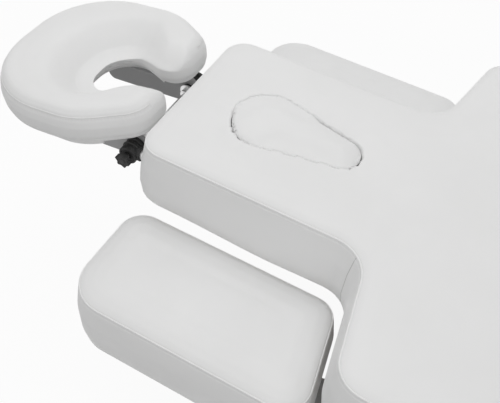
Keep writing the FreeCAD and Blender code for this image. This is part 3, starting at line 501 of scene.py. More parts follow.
def inside(places: np.ndarray, line: np.ndarray) -> np.ndarray:
    """True for each place inside a closed plan line."""
    x, y = places[:, 0], places[:, 1]
    result = np.zeros(len(places), bool)
    before = np.roll(line, 1, axis=0)
    for (x0, y0), (x1, y1) in zip(before, line):
        if y0 == y1:
            continue
        crosses = ((y0 > y) != (y1 > y)) & (x < (x1 - x0) * (y - y0) / (y1 - y0) + x0)
        result ^= crosses
    return result


def ease(values: np.ndarray) -> np.ndarray:
    """Smooth step from 0 to 1."""
    share = np.clip(values, 0, 1)
    return share * share * (3 - 2 * share)


def rise(values: np.ndarray, span: Span) -> np.ndarray:
    """Smooth step from 0 at the start of a span to 1 at its end, a width further on."""
    start, width = span
    return ease((values - start) / width)


def skin_of(obj: Piece) -> BVHTree:
    """Search tree of a mesh object's faces."""
    bpy.context.view_layer.update()
    return BVHTree.FromObject(obj, bpy.context.evaluated_depsgraph_get())


def sides_of(line: np.ndarray, closed: bool = True) -> np.ndarray:
    """Unit directions out of a counter-clockwise plan line at its points."""
    run = np.roll(line, -1, axis=0) - np.roll(line, 1, axis=0)
    if not closed:
        run[0], run[-1] = run[1], run[-2]
    run /= np.linalg.norm(run, axis=1, keepdims=True)
    return np.column_stack([run[:, 1], -run[:, 0]])


def around(places: np.ndarray, line: np.ndarray) -> tuple[np.ndarray, np.ndarray, np.ndarray]:
    """How each place lies to a closed plan line.

    Args:
        places: Vertex places.
        line: Points along the line, counter-clockwise.

    Returns:
        Nearest points on the line, unit directions out of it, and distances, negative inside.
    """
    tree = tree_of(line)
    found = [tree.find((x, y, 0))[1] for x, y in places[:, :2]]
    away = sides_of(line)[found]
    off = ((places[:, :2] - line[found]) * away).sum(1)
    near = np.abs(off) < LINE_REACH
    side = np.where(inside(places, line), -1.0, 1.0)
    gap = np.linalg.norm(places[:, :2] - line[found], axis=1) * side
    return places[:, :2] - away * np.where(near, off, 0)[:, None], away, gap


def lifted(line: np.ndarray, level: float) -> np.ndarray:
    """A plan line at a level."""
    return np.column_stack([line, np.full(len(line), level)])


@dataclass(frozen=True)
class Swelling:
    """Cloth simulation of a cover: its cloth, its pressure and the cap on its movement."""

    quality: int = 4
    mass: float = 0.3
    stiffness: float = 12
    bending: float = 2.0
    pressure: float = 4
    frames: int = 20
    start_share: float = 0.4
    cap_share: float = 1.4

    def apply_to(self, obj: Piece, held: np.ndarray) -> None:
        """Run the simulation on one mesh.

        Args:
            obj: Cover to swell.
            held: Numbers of the vertices that stay.
        """
        group = obj.vertex_groups.new(name="held")
        group.add([int(i) for i in held], 1.0, "REPLACE")
        cloth = obj.modifiers.new("swell", "CLOTH")
        cloth.settings.quality = self.quality
        cloth.settings.mass = self.mass
        cloth.settings.tension_stiffness = self.stiffness
        cloth.settings.compression_stiffness = self.stiffness
        cloth.settings.bending_stiffness = self.bending
        cloth.settings.use_pressure = True
        cloth.settings.uniform_pressure_force = self.pressure
        cloth.settings.effector_weights.gravity = 0
        cloth.settings.vertex_group_mass = group.name
        cloth.collision_settings.use_collision = False
        for number in range(1, self.frames + 1):
            bpy.context.scene.frame_set(number)
        alone(obj)
        bpy.ops.object.modifier_apply(modifier=cloth.name)
        bpy.context.scene.frame_set(1)


@dataclass
class Pad:
    """Upholstered pad: foam under a sewn cover that stands for one soft node."""

    name: str
    node: str
    body: str
    outline: Outline
    seam_share: float = 0.08
    voxel: float = 0.0075
    swell: float = 0.006
    fill: float = 0.8
    edge: Edge = Edge.WELT
    welt_radius: float = 0.0017
    welt_drop: float = 0.0019
    welt_proud: float = 0.0014
    fold_radius: float = 0.0012
    fold_drop: float = 0.0080
    fold_proud: float = 0.0003
    groove_drop: float = 0.0048
    groove_depth: float = 0.0005
    groove_width: float = 0.0034
    groove_mark: float = 0.3
    cord_reach: float = 0.025
    cord_span: int = 3
    refill: float = 0.85
    pocket: float = 0.02
    seam_hold: Span = (0.6, 2.0)
    floor_hold: float = 1.2
    tilt: float = 0.0
    swelling: Swelling = Swelling()
    obj: Piece = field(init=False)
    cords: list[Piece] = field(init=False, default_factory=list)
    form: BVHTree = field(init=False)
    low: Vector = field(init=False)
    high: Vector = field(init=False)
    seam_z: float = field(init=False)

    def build(self) -> Piece:
        """Make the pad and its welt.

        Returns:
            The pad's object.
        """
        self._copy_shell()
        self._inflate()
        self._smooth()
        self._fill_out()
        self.shape()
        self._press_seams()
        self.lay_cords()
        for piece in (self.obj, *self.cords):
            piece.data.transform(tilt_about_axis(-self.tilt))
            piece.data.update()
        self.dress()
        LOG.info("pad %s: %d vertices", self.name, len(self.obj.data.vertices))
        return self.obj

    def shape(self) -> None:
        """Further shaping of one pad."""

    def lay_out(self) -> None:
        """Change to the pad's form before it gets its skin."""

    def _copy_shell(self) -> None:
        """Copy the soft node's form and give it an even skin of small faces."""
        source = frame["nodes"][self.node]
        self.obj = bpy.data.objects.new(self.name, source.data.copy())
        bpy.context.scene.collection.objects.link(self.obj)
        with editing(self.obj):
            bpy.ops.mesh.select_all(action="SELECT")
            bpy.ops.mesh.remove_doubles(threshold=MERGE_DISTANCE)
        self.obj.data.transform(tilt_about_axis(self.tilt))
        self.lay_out()
        places = coordinates(self.obj)
        self.low, self.high = Vector(places.min(0)), Vector(places.max(0))
        self.seam_z = self.high.z - self.seam_share * (self.high.z - self.low.z)
        self.form = skin_of(self.obj)
        self.obj.data.remesh_voxel_size = self.voxel
        bpy.ops.object.voxel_remesh()

    def held(self, places: np.ndarray) -> np.ndarray:
        """True for each vertex that the board, a seam or a pocket holds in place."""
        rim = distances(places, self.outline.points())
        z = places[:, 2]
        tall, wide = self.seam_hold
        seam = (np.abs(z - self.seam_z) < tall * self.voxel) & (rim < wide * self.voxel)
        floor = z < self.low.z + self.floor_hold * self.voxel
        pocket = (rim > self.pocket) & (z < self.high.z - self.pocket)
        return seam | floor | pocket

    def _inflate(self) -> None:
        """Swell the cover by cloth simulation, held at its seams and its board."""
        rest = coordinates(self.obj)
        start = rest - normals(self.obj) * self.swell * self.swelling.start_share
        held = self.held(rest)
        start[held] = rest[held]
        put(self.obj, start)
        self.swelling.apply_to(self.obj, np.flatnonzero(held))
        moved = coordinates(self.obj) - start
        far = np.linalg.norm(moved, axis=1, keepdims=True) + 1e-9
        cap = self.swell * self.swelling.cap_share
        put(self.obj, start + moved / far * cap * np.tanh(far / cap))
        self.obj.vertex_groups.clear()

    def _smooth(self) -> None:
        """Relax the skin and divide it once."""
        relax = self.obj.modifiers.new("relax", "SMOOTH")
        relax.iterations = RELAX_TURNS
        relax.factor = RELAX_FACTOR
        divide = self.obj.modifiers.new("divide", "SUBSURF")
        divide.levels = 1
        divide.render_levels = 1
        apply_all(self.obj)

    def _fill_out(self) -> None:
        """Bring the skin back to the sewn form where relaxing drew it in."""
        places = coordinates(self.obj)
        for index, place in enumerate(places):
            spot, facing, _, _ = self.form.find_nearest(Vector(place))
            short = (spot - Vector(place)).dot(facing)
            if 0 < short < self.voxel:
                places[index] += np.array(facing) * (short * self.refill)
        put(self.obj, places)
        self.soften_skin(np.arange(len(places)), 1)

    def soften_skin(self, chosen: np.ndarray, turns: int) -> None:
        """Even out a part of the skin.

        Args:
            chosen: Numbers of the vertices to even out.
            turns: Number of passes.
        """
        group = self.obj.vertex_groups.new(name="soft")
        group.add([int(i) for i in chosen], 1.0, "REPLACE")
        relax = self.obj.modifiers.new("soft", "SMOOTH")
        relax.iterations = turns
        relax.factor = RELAX_FACTOR
        relax.vertex_group = group.name
        apply_all(self.obj)
        self.obj.vertex_groups.clear()

    def seams(self) -> list[tuple[np.ndarray, float, float]]:
        """Sewn lines of the cover: points, depth and width of each groove."""
        if self.edge is Edge.PLAIN:
            return []
        line = lifted(self.outline.points(), self.seam_z - self.groove_drop)
        return [(line, self.groove_depth, self.groove_width)]

    def _press_seams(self) -> None:
        """Draw the cover in along its sewn lines and store painted shade for the grooves in the seam
        attribute.
        """
        places = coordinates(self.obj)
        outward = normals(self.obj)
        mark = np.zeros(len(places))
        for line, depth, width in self.seams():
            near = np.exp(-(distances(places, line) / width) ** 2)
            places -= outward * (near * depth)[:, None]
            # Painted shade: the seam attribute darkens the cover's colour in each pressed groove.
            mark = np.maximum(mark, near * self.groove_mark)
        put(self.obj, places)
        attribute = self.obj.data.attributes.new("seam", "FLOAT", "POINT")
        attribute.data.foreach_set("value", mark.astype(np.float32))

    def lay_cords(self) -> None:
        """Sew a round welt into the upper edge, and a folded seam below it."""
        if self.edge is Edge.WELT:
            line = self.outline.points()
            self.cord("welt", line, self.seam_z - self.welt_drop, self.welt_radius, self.welt_proud)
            self.cord("fold", line, self.seam_z - self.fold_drop, self.fold_radius, self.fold_proud)

    def cord(
        self, word: str, line: np.ndarray, level: float, radius: float, proud: float, closed: bool = True,
    ) -> None:
        """Lay a cord into the cover along a plan line.

        Args:
            word: Name of the cord after the pad's name.
            line: Points of the line.
            level: Height of the cord.
            radius: Radius of the cord.
            proud: Height that it stands out of the cover.
            closed: True for a ring.
        """
        skin = skin_of(self.obj)
        away = sides_of(line, closed)
        depth = np.zeros(len(line))
        for index, (point, out) in enumerate(zip(line, away)):
            start = Vector((*(point + out * self.cord_reach), level))
            hit = skin.ray_cast(start, Vector((*-out, 0)), CAST_LENGTH)[0]
            depth[index] = self.cord_reach - (start - hit).length if hit else 0.0
        padded = np.pad(depth, self.cord_span, mode="wrap" if closed else "edge")
        window = 2 * self.cord_span + 1
        depth = np.convolve(padded, np.ones(window) / window, mode="valid")
        middle = line + away * (depth + proud - radius)[:, None]
        self.sew(tube(f"{self.name}_{word}", lifted(middle, level), radius, closed))

    def sew(self, piece: Piece) -> None:
        """Give a cord the cover's finish and carry it along with the pad."""
        piece.data.materials.append(LEATHER.material())
        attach(piece, self.body)
        self.cords.append(piece)

    def dress(self) -> None:
        """Give the pad its cover and its place among the bodies."""
        self.obj.data.materials.clear()
        self.obj.data.materials.append(LEATHER.material())
        alone(self.obj)
        bpy.ops.object.shade_smooth_by_angle(angle=SHADE_ANGLE)
        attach(self.obj, self.body)
        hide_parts(self.node)


def tilt_about_axis(angle: float) -> Matrix:
    """Turn about the tilt axis of the face cradle."""
    move = Matrix.Translation(CRADLE_AXIS)
    return move @ Matrix.Rotation(angle, 4, "Y") @ move.inverted()


def tube(name: str, points: np.ndarray, radius: float, closed: bool) -> Piece:
    """Round cord along points, as a mesh.

    Args:
        name: Name of the piece.
        points: Points along its middle.
        radius: Radius of the cord.
        closed: True for a ring.

    Returns:
        The mesh object.
    """
    curve = bpy.data.curves.new(name, "CURVE")
    curve.dimensions = "3D"
    curve.bevel_depth = radius
    curve.bevel_resolution = 2
    spline = curve.splines.new("POLY")
    spline.points.add(len(points) - 1)
    places = np.column_stack([points, np.ones(len(points))])
    spline.points.foreach_set("co", places.astype(np.float32).ravel())
    spline.use_cyclic_u = closed
    obj = bpy.data.objects.new(name, curve)
    bpy.context.scene.collection.objects.link(obj)
    alone(obj)
    bpy.ops.object.convert(target="MESH")
    made = bpy.context.view_layer.objects.active
    bpy.ops.object.shade_smooth()
    return settle(made, name)


@dataclass
class PlugSeat:
    """The soft valley in which the face plug sits, and where its edge shows as a line."""

    middle: Span = (HEAD_EDGE_X + 0.190, PLUG_OFFSET)
    depth: float = 0.004
    open_gap: float = 0.0016
    closed_gap: float = 0.0001
    arcs: tuple[tuple[float, float], ...] = ((-176.0, -112.0), (-16.0, 62.0))
    fade: float = 30.0
    valley: float = 0.042
    base_share: float = 0.45
    line_share: float = 0.85

    def shown(self, places: np.ndarray) -> np.ndarray:
        """From 0, where the covers touch, to 1, where the plug's edge shows as a dark line."""
        angle = np.degrees(np.arctan2(places[:, 1] - self.middle[1], places[:, 0] - self.middle[0]))
        total = np.zeros(len(places))
        for start, end in self.arcs:
            begun = ease((angle - start) / self.fade + 0.5)
            lasting = ease((end - angle) / self.fade + 0.5)
            total = np.maximum(total, begun * lasting)
        return total

    def drop(self, places: np.ndarray) -> np.ndarray:
        """Depth of the valley beside the plug."""
        return self.depth * (self.base_share + self.line_share * self.shown(places))

    def level(self, places: np.ndarray, gap: np.ndarray, top: float) -> np.ndarray:
        """Height of the backrest's cover beside the plug."""
        return top - self.drop(places) * (1 - ease(gap / self.valley))


@dataclass
class BackPad(Pad):
    """Backrest: sewn corner seams at the shoulders and the plug's valley in its top."""

    plug: Outline = None
    shoulder: Span = (0.373, 0.184)
    shoulder_out: Span = (-0.69, 0.72)
    upright_radius: float = 0.0011
    upright_sunk: float = 0.0007
    upright_ends: Span = (0.010, 0.004)
    upright_points: int = 40
    flare: float = 0.005
    flare_rise: Span = (0.06, 0.20)
    flare_fall: Span = (0.22, 0.14)
    flare_lost: float = 0.6
    flare_end: Span = (0.44, 0.05)
    flare_wall: Span = (0.012, 0.03)
    flare_ends: Span = (0.01, 0.03)
    head_flare: float = 1.9
    head_end: Span = (0.006, 0.06)
    upper: float = 0.03
    level_ring: Span = (0.044, 0.052)
    blend: Span = (0.030, 0.016)
    valley_reach: float = 0.05
    flat_facing: float = 0.6
    top_facing: float = 0.35
    dish: float = 0.045
    rim: float = 0.0045
    rim_depth: float = 0.075
    top: float = field(init=False)

    def lay_cords(self) -> None:
        """The edge welt, and an upright seam in each shoulder, darkened all along with painted shade."""
        super().lay_cords()
        skin = skin_of(self.obj)
        foot, head = self.upright_ends
        levels = np.linspace(self.low.z + foot, self.seam_z - head, self.upright_points)
        for side in Side:
            out = Vector((self.shoulder_out[0], self.shoulder_out[1] * side.value, 0)).normalized()
            start = at(self.shoulder[0], side.value * self.shoulder[1], 0) + out * CAST_LENGTH / 2
            points = []
            for level in levels:
                hit = skin.ray_cast(start + Vector((0, 0, level)), -out, CAST_LENGTH)[0]
                points.append(tuple(hit - out * self.upright_sunk))
            name = "backrest_pad_shoulder_seam_" + side.word
            seam = tube(name, np.array(points), self.upright_radius, False)
            # Painted shade: the whole shoulder seam cord takes the darker seam tint, standing in for the shade
            # in the sewn corner.
            mark = seam.data.attributes.new("seam", "FLOAT", "POINT")
            mark.data.foreach_set("value", np.ones(len(seam.data.vertices), np.float32))
            self.sew(seam)

    def _flare(self, places: np.ndarray) -> None:
        """Let the lower walls stand out at the head end and beside the armrests."""
        _, away, gap = around(places, self.outline.points())
        along = places[:, 0] - HEAD_EDGE_X
        beside_arm = rise(along, self.flare_rise) * (1 - self.flare_lost * rise(along, self.flare_fall))
        where = beside_arm * (1 - rise(along, self.flare_end))
        at_head = (1 - rise(along, self.head_end)) * np.clip(-away[:, 0], 0, 1) ** 2
        where += self.head_flare * at_head
        above, below = self.flare_ends
        depth = ease((self.seam_z - above - places[:, 2]) / (self.seam_z - self.low.z - below))
        wall = 1 - rise(-gap, self.flare_wall)
        places[:, :2] += away * (self.flare * where * depth * wall)[:, None]

    def lay_out(self) -> None:
        """Move the plug's hole and its dish to where the plug lies."""
        places = coordinates(self.obj)
        _, _, gap = around(places, self.plug.points())
        places[gap < self.dish, 1] += PLUG_OFFSET
        put(self.obj, places)

    def shape(self) -> None:
        """Form the valley and a clean rim around the plug."""
        seat = PlugSeat()
        places = coordinates(self.obj)
        facing = normals(self.obj)[:, 2]
        edge, away, gap = around(places, self.plug.points())
        upper = places[:, 2] > self.high.z - self.upper
        nearest, farthest = self.level_ring
        ring = upper & (facing > self.flat_facing) & (gap > nearest) & (gap < farthest)
        self.top = float(np.median(places[ring, 2]))
        level = seat.level(places, np.clip(gap, 0, None), self.top)
        weight = 1 - rise(gap, self.blend)
        soft = upper & (gap < self.valley_reach) & ((facing > self.top_facing) | (places[:, 2] > level))
        places[soft, 2] += (weight * (level - places[:, 2]))[soft]
        wall = (gap < self.rim) & (places[:, 2] > self.high.z - self.rim_depth)
        clear = seat.closed_gap + (seat.open_gap - seat.closed_gap) * seat.shown(places)
        places[wall, :2] = (edge + away * clear[:, None])[wall]
        self._flare(places)
        put(self.obj, places)


@dataclass
class PlugPad(Pad):
    """Loose plug of the face hole: a low dome whose edge sinks into the valley."""

    roll: float = 0.0026
    shoulder: float = 0.046
    lip: float = 0.0040
    lip_lift: float = 0.0005
    lip_sink: float = 0.0032
    lip_width: float = 0.003
    rim: float = 0.005
    crown_depth: float = 0.024
    wall_gap: float = 0.0001
    wall_drop: float = 0.0012
    line_drop: float = 0.0006
    roundness: float = 2.2
    top_facing: float = 0.3
    rim_facing: float = 0.02
    line_share: float = 0.5
    top: float = 0.0

    def lay_out(self) -> None:
        """Move the plug to where it lies."""
        self.obj.data.transform(Matrix.Translation((0, PLUG_OFFSET, 0)))

    def shape(self) -> None:
        """Dome the top and straighten the wall."""
        seat = PlugSeat()
        places = coordinates(self.obj)
        facing = normals(self.obj)[:, 2]
        edge, away, gap = around(places, self.outline.points())
        depth = np.clip(-gap, 0, None)
        shown = seat.shown(places)
        brim = self.top - seat.drop(places) - self.line_drop * shown
        share = np.clip(depth / self.shoulder, 0, 1)
        dome = shown * (1 - (1 - share) ** self.roundness) + (1 - shown) * ease(share)
        curl = shown * self.roll * (1 - np.sqrt(1 - (1 - np.clip(depth / self.roll, 0, 1)) ** 2))
        crown = places[:, 2] > self.high.z - self.crown_depth
        top = crown & (facing > self.top_facing)
        rim = crown & (gap > -self.rim) & (facing > self.rim_facing)
        wall = (gap > -self.rim) & ~rim
        places[top, 2] = (brim + (self.high.z - brim) * dome - curl)[top]
        sink = self.lip_sink * (1 - shown) + self.roll * shown
        places[rim, 2] = (brim + (1 - shown) * self.lip_lift - sink * (1 - facing))[rim]
        inward = self.lip_width * facing * (1 - self.line_share * shown)
        over = self.lip * (1 - shown) - inward - self.wall_gap
        places[rim, :2] = (edge + away * over[:, None])[rim]
        places[wall, :2] = (edge - away * self.wall_gap)[wall]
        lowest = brim - shown * self.roll - self.wall_drop
        places[wall & crown, 2] = np.minimum(places[:, 2], lowest)[wall & crown]
        put(self.obj, places)


@dataclass
class CradlePad(Pad):
    """Horseshoe face cushion, sewn along its outer brim and its inner lower edge."""

    brim: float = 0.015
    hem: float = 0.010
    opening_half: float = 0.085
    opening_head: float = 0.26
    hollow: float = 0.028
    hollow_reach: float = 0.085
    crown_depth: float = 0.034
    brim_width: float = 0.016
    soft_turns: int = 40
    crown_facing: float = 0.25
    hollow_start: float = 0.085
    hollow_floor: float = 0.012
    hollow_top: float = 0.030
    brim_groove: tuple[float, float, float] = (0.003, 0.0009, 0.0040)
    hem_groove: tuple[float, float, float] = (0.003, 0.0008, 0.0032)
    brim_cord: Span = (0.0016, 0.0006)
    hem_cord: Span = (0.0015, 0.0005)
    tip_start: float = 0.215
    tip_length: float = 0.19
    tip_aside: float = 0.011
    tip_along: Span = (0.009, -0.004)

    def seams(self) -> list[tuple[np.ndarray, float, float]]:
        """Shallow grooves under the brim and above the lower edge."""
        drop, *brim = self.brim_groove
        outset, *hem = self.hem_groove
        return [
            (self._turned(self.outer(), self.high.z - self.brim - drop), *brim),
            (self._turned(self.outline.points(-outset), self.low.z + self.hem), *hem),
        ]

    def _turned(self, line: np.ndarray, level: float) -> np.ndarray:
        """A plan line at a level, with its tips turned as the cushion's are."""
        points = lifted(line, level)
        self._turn_tips(points)
        return points

    def _in_opening(self, line: np.ndarray) -> np.ndarray:
        """True for each point of a line that lies on the face opening."""
        return (np.abs(line[:, 1]) <= self.opening_half) & (line[:, 0] >= HEAD_EDGE_X - self.opening_head)

    def outer(self) -> np.ndarray:
        """The outline without the face opening, from one tip round the head to the other."""
        line = self.outline.points()
        keep = ~self._in_opening(line)
        start = int(np.flatnonzero(keep & ~np.roll(keep, 1))[0])
        return np.roll(line, -start, axis=0)[:int(keep.sum())]

    def shape(self) -> None:
        """Let the hollow round the face opening run out softly."""
        places = coordinates(self.obj)
        crown = places[:, 2] > self.high.z - self.crown_depth
        within = distances(places, self.outer()) > self.brim_width
        facing = normals(self.obj)[:, 2] > self.crown_facing
        self.soften_skin(np.flatnonzero(crown & within & facing), self.soft_turns)
        places = coordinates(self.obj)
        self._deepen(places)
        self._turn_tips(places)
        put(self.obj, places)

    def _deepen(self, places: np.ndarray) -> None:
        """Let the hollow fall away towards the head end of the face opening."""
        line = self.outline.points()
        opening = line[self._in_opening(line)]
        beside = 1 - ease(distances(places, opening) / self.hollow_reach)
        headward = ease((HEAD_EDGE_X - self.hollow_start - places[:, 0]) / self.hollow_reach)
        floor, full = self.low.z + self.hollow_floor, self.high.z - self.low.z - self.hollow_top
        height = (places[:, 2] - floor) / full
        places[:, 2] -= self.hollow * beside * headward * np.clip(height, 0, 1)

    def _turn_tips(self, places: np.ndarray) -> None:
        """Turn the tips a little, as the cushion lies on its fastening tape."""
        share = np.clip((places[:, 0] - HEAD_EDGE_X + self.tip_start) / self.tip_length, 0, 1) ** 2
        places[:, 1] += self.tip_aside * share
        places[:, 0] += np.where(places[:, 1] < 0, *self.tip_along) * share

    def lay_cords(self) -> None:
        """Folded seams under the brim and round the lower edge."""
        for word, line, level, sizes, closed in (
            ("brim", self.outer(), self.high.z - self.brim, self.brim_cord, False),
            ("hem", self.outline.points(), self.low.z + self.hem, self.hem_cord, True),
        ):
            self.cord(word, self._turned(line, level)[:, :2], level, *sizes, closed)


@dataclass
class Studio:
    """Floor, light and camera at the photograph's view."""

    target: Vector = field(default_factory=lambda: Vector((-0.54759, -0.1656, 0.629)))
    distance: float = 1.0454
    azimuth: float = 24.61
    elevation: float = 50.19
    roll: float = 5.43
    lens: float = 50.963
    sensor: float = 36
    clip_end: float = 60
    floor_size: float = 30
    floor_color: Color = (0.45, 0.45, 0.45, 1)
    floor_white: float = 0.92
    fill: float = 0.45

    def build(self) -> None:
        """Set the scene around the table."""
        bpy.context.scene.view_settings.view_transform = "Standard"
        self._floor()
        self._world()
        self._lamps()
        self._camera()

    @staticmethod
    def _white_to_camera(tree: bpy.types.NodeTree) -> bpy.types.NodeSocket:
        """Value that is 1 for rays from the camera, glossy and transmission rays.

        Args:
            tree: Node tree to add to.

        Returns:
            Output socket with the value.
        """
        path = tree.nodes.new("ShaderNodeLightPath")
        last = path.outputs["Is Camera Ray"]
        for ray in ("Is Glossy Ray", "Is Transmission Ray"):
            node = tree.nodes.new("ShaderNodeMath")
            node.operation = "MAXIMUM"
            tree.links.new(last, node.inputs[0])
            tree.links.new(path.outputs[ray], node.inputs[1])
            last = node.outputs[0]
        return last

    @staticmethod
    def _mix(tree: bpy.types.NodeTree, first: Node, second: Node) -> Node:
        """Mix of two shaders."""
        node = tree.nodes.new("ShaderNodeMixShader")
        tree.links.new(first.outputs[0], node.inputs[1])
        tree.links.new(second.outputs[0], node.inputs[2])
        return node

    def _floor(self) -> None:
        """Pale floor that keeps the table's shadow."""
        bpy.ops.object.select_all(action="DESELECT")
        bpy.ops.mesh.primitive_plane_add(size=self.floor_size, location=(0, 0, 0))
        floor = settle(bpy.context.active_object, "studio_floor")
        material = bpy.data.materials.new("studio_floor")
        material.use_nodes = True
        tree = material.node_tree
        tree.nodes.clear()
        output = tree.nodes.new("ShaderNodeOutputMaterial")
        matt, white = (tree.nodes.new("ShaderNodeBsdfDiffuse") for _ in range(2))
        matt.inputs["Color"].default_value = self.floor_color
        white.inputs["Color"].default_value = (1, 1, 1, 1)
        glow = tree.nodes.new("ShaderNodeEmission")
        glow.inputs["Strength"].default_value = 1.0
        seen = self._mix(tree, white, glow)
        seen.inputs["Fac"].default_value = self.floor_white
        mix = self._mix(tree, matt, seen)
        tree.links.new(self._white_to_camera(tree), mix.inputs["Fac"])
        tree.links.new(mix.outputs[0], output.inputs["Surface"])
        floor.data.materials.append(material)

    def _world(self) -> None:
        """White backdrop and a soft all-round fill."""
        world = bpy.data.worlds.new("studio")
        bpy.context.scene.world = world
        world.use_nodes = True
        tree = world.node_tree
        back = tree.nodes["Background"]
        back.inputs["Color"].default_value = (1, 1, 1, 1)
        level = tree.nodes.new("ShaderNodeMapRange")
        level.inputs["To Min"].default_value = self.fill
        level.inputs["To Max"].default_value = 1.0
        tree.links.new(self._white_to_camera(tree), level.inputs["Value"])
        tree.links.new(level.outputs["Result"], back.inputs["Strength"])

    def _lamps(self) -> None:
        """Large soft boxes above the head end, on the near side and on the far side."""
        for name, place, aim, size, power in (
            ("key", (-1.0, 0.1, 2.9), (-0.5, 0, 0.6), 2.4, 21),
            ("front", (0.2, -2.6, 1.5), (-0.4, 0, 0.5), 2.0, 12),
            ("rear", (-1.0, 2.2, 2.4), (-0.4, 0, 0.5), 2.0, 7),
        ):
            data = bpy.data.lights.new(name, "AREA")
            data.size = size
            data.energy = power
            lamp = bpy.data.objects.new(name, data)
            bpy.context.scene.collection.objects.link(lamp)
            lamp.location = place
            lamp.rotation_euler = (Vector(aim) - Vector(place)).to_track_quat("-Z", "Y").to_euler()

    def _camera(self) -> None:
        """Camera from the photograph's place."""
        az, el, roll = (math.radians(a) for a in (self.azimuth, self.elevation, self.roll))
        back = Vector((math.sin(az) * math.cos(el), -math.cos(az) * math.cos(el), math.sin(el)))
        right = Vector((math.cos(az), math.sin(az), 0))
        up = back.cross(right)
        turned = math.cos(roll) * right + math.sin(roll) * up
        raised = -math.sin(roll) * right + math.cos(roll) * up
        data = bpy.data.cameras.new("photo_view")
        data.lens = self.lens
        data.sensor_width = self.sensor
        data.sensor_fit = "HORIZONTAL"
        data.clip_end = self.clip_end
        camera = bpy.data.objects.new("photo_view", data)
        bpy.context.scene.collection.objects.link(camera)
        place = self.target + back * self.distance
        camera.matrix_world = Matrix((
            (turned.x, raised.x, back.x, place.x),
            (turned.y, raised.y, back.y, place.y),
            (turned.z, raised.z, back.z, place.z),
            (0, 0, 0, 1),
        ))
        bpy.context.scene.camera = camera


@dataclass
class TablePads:
    """Every upholstered pad of the table."""

    half_head: float = 0.160
    half_table: float = 0.365
    back_length: float = 0.800
    seat_length: float = 0.430
    leg_length: float = 0.600
    gap: float = 0.016
    bulge: float = 0.008
    step_start: float = 0.395
    slant: float = 0.18
    arm_start: float = 0.004
    arm_inner: float = 0.182
    arm_outer: float = 0.375
    arm_gap: float = 0.022
    joint_radius: float = 0.022
    foot_radius: float = 0.060

    def back_outline(self) -> Outline:
        """Backrest: narrow head part, slanted shoulders, full width below."""
        outer = self.step_start + self.slant * (self.half_table - self.half_head)
        end = self.back_length - self.bulge
        near = (
            (0, -self.half_head, 0.038),
            (self.step_start, -self.half_head, 0.060),
            (outer, -self.half_table, 0.046),
            (end, -self.half_table, self.joint_radius),
        )
        return placed(both_sides(near))

    def section_outline(self, start: float, end: float, foot_radius: float) -> Outline:
        """Plain section across the full width."""
        x0, x1 = start + self.bulge, end - self.bulge
        half = self.half_table
        return placed(both_sides(((x0, -half, self.joint_radius), (x1, -half, foot_radius))))

    def arm_outline(self) -> Outline:
        """Near armrest, with its slanted foot edge."""
        start, inner, outer = self.arm_start, self.arm_inner, self.arm_outer
        foot = [self.step_start - self.arm_gap + self.slant * (y - self.half_head) for y in (outer, inner)]
        return placed((
            (start, -outer, 0.062), (foot[0], -outer, 0.042), (foot[1], -inner, 0.036), (start, -inner, 0.040),
        ))

    def cradle_outline(self) -> Outline:
        """Horseshoe of the face cradle."""
        near = (
            (-0.343, -0.169, 0.147), (-0.114, -0.169, 0.115), (-0.027, -0.112, 0.048), (-0.027, -0.031, 0.033),
            (-0.074, -0.031, 0.048), (-0.130, -0.056, 0.028), (-0.190, -0.056, 0.048),
        )
        return placed(both_sides(near))

    def plug_outline(self) -> Outline:
        """Egg-shaped face plug."""
        near = ((0.094, -0.0725, 0.0575), (0.314, -0.027, 0.0315))
        return placed(tuple((x, y + PLUG_OFFSET, r) for x, y, r in both_sides(near)))

    def build(self) -> None:
        """Make every pad."""
        seat = self.back_length + self.gap
        leg = seat + self.seat_length + self.gap
        seat_line = self.section_outline(seat, seat + self.seat_length, self.joint_radius)
        leg_line = self.section_outline(leg, leg + self.leg_length, self.foot_radius)
        arm = self.arm_outline()
        plug = self.plug_outline()
        back = BackPad("backrest_pad", "back_cushion", "backrest", self.back_outline(), plug=plug)
        back.build()
        Pad("seat_pad", "seat_cushion", "lift", seat_line).build()
        Pad("leg_pad", "leg_cushion", "leg_rest", leg_line).build()
        for side in Side:
            line = arm if side is Side.NEAR else arm.mirrored()
            Pad(
                "armrest_pad_" + side.word, "armrest_cushion_" + side.word, "armrest_" + side.word, line,
                seam_share=0.1, voxel=0.006,
            ).build()
        CradlePad(
            "cradle_pad", "cradle_cushion", "cradle", self.cradle_outline(),
            seam_share=0.3, voxel=0.005, edge=Edge.PLAIN, tilt=CRADLE_TILT,
        ).build()
        PlugPad(
            "plug_pad", "face_plug", "plug", plug,
            seam_share=0.2, voxel=0.0045, edge=Edge.PLAIN, swell=0.003, top=back.top,
        ).build()


def both_sides(near: Corners) -> Corners:
    """Corners of the near side and their mirror on the far side."""
    return near + tuple((x, -y, r) for x, y, r in reversed(near))


def placed(corners: Corners) -> Outline:
    """Outline from corners measured from the head edge of the backrest."""
    return Outline(tuple((x + HEAD_EDGE_X, y, r) for x, y, r in corners))


@dataclass
class Underframe:
    """Frame, lift and drive nodes that keep their own shape."""

    covered: tuple[str, ...] = ("cradle_board",)

    def dress(self) -> None:
        """Give each node the finish of its material slot, or the cover that it is wrapped in."""
        for part in frame["record"]["subparts"]:
            slot = "upholstery" if part["node"] in self.covered else part["material_slot"]
            material = SLOT_FINISHES[slot].material()
            node = frame["nodes"][part["node"]]
            if node.material_slots:
                for place in node.material_slots:
                    place.material = material
            else:
                node.data.materials.append(material)
            LOG.info("node %s: %s", part["node"], material.name)


class Axis(Enum):
    """Direction of a turned piece, as the turn that lays an upright cylinder along it."""

    X = (0.0, math.pi / 2, 0.0)
    Y = (math.pi / 2, 0.0, 0.0)
    Z = (0.0, 0.0, 0.0)


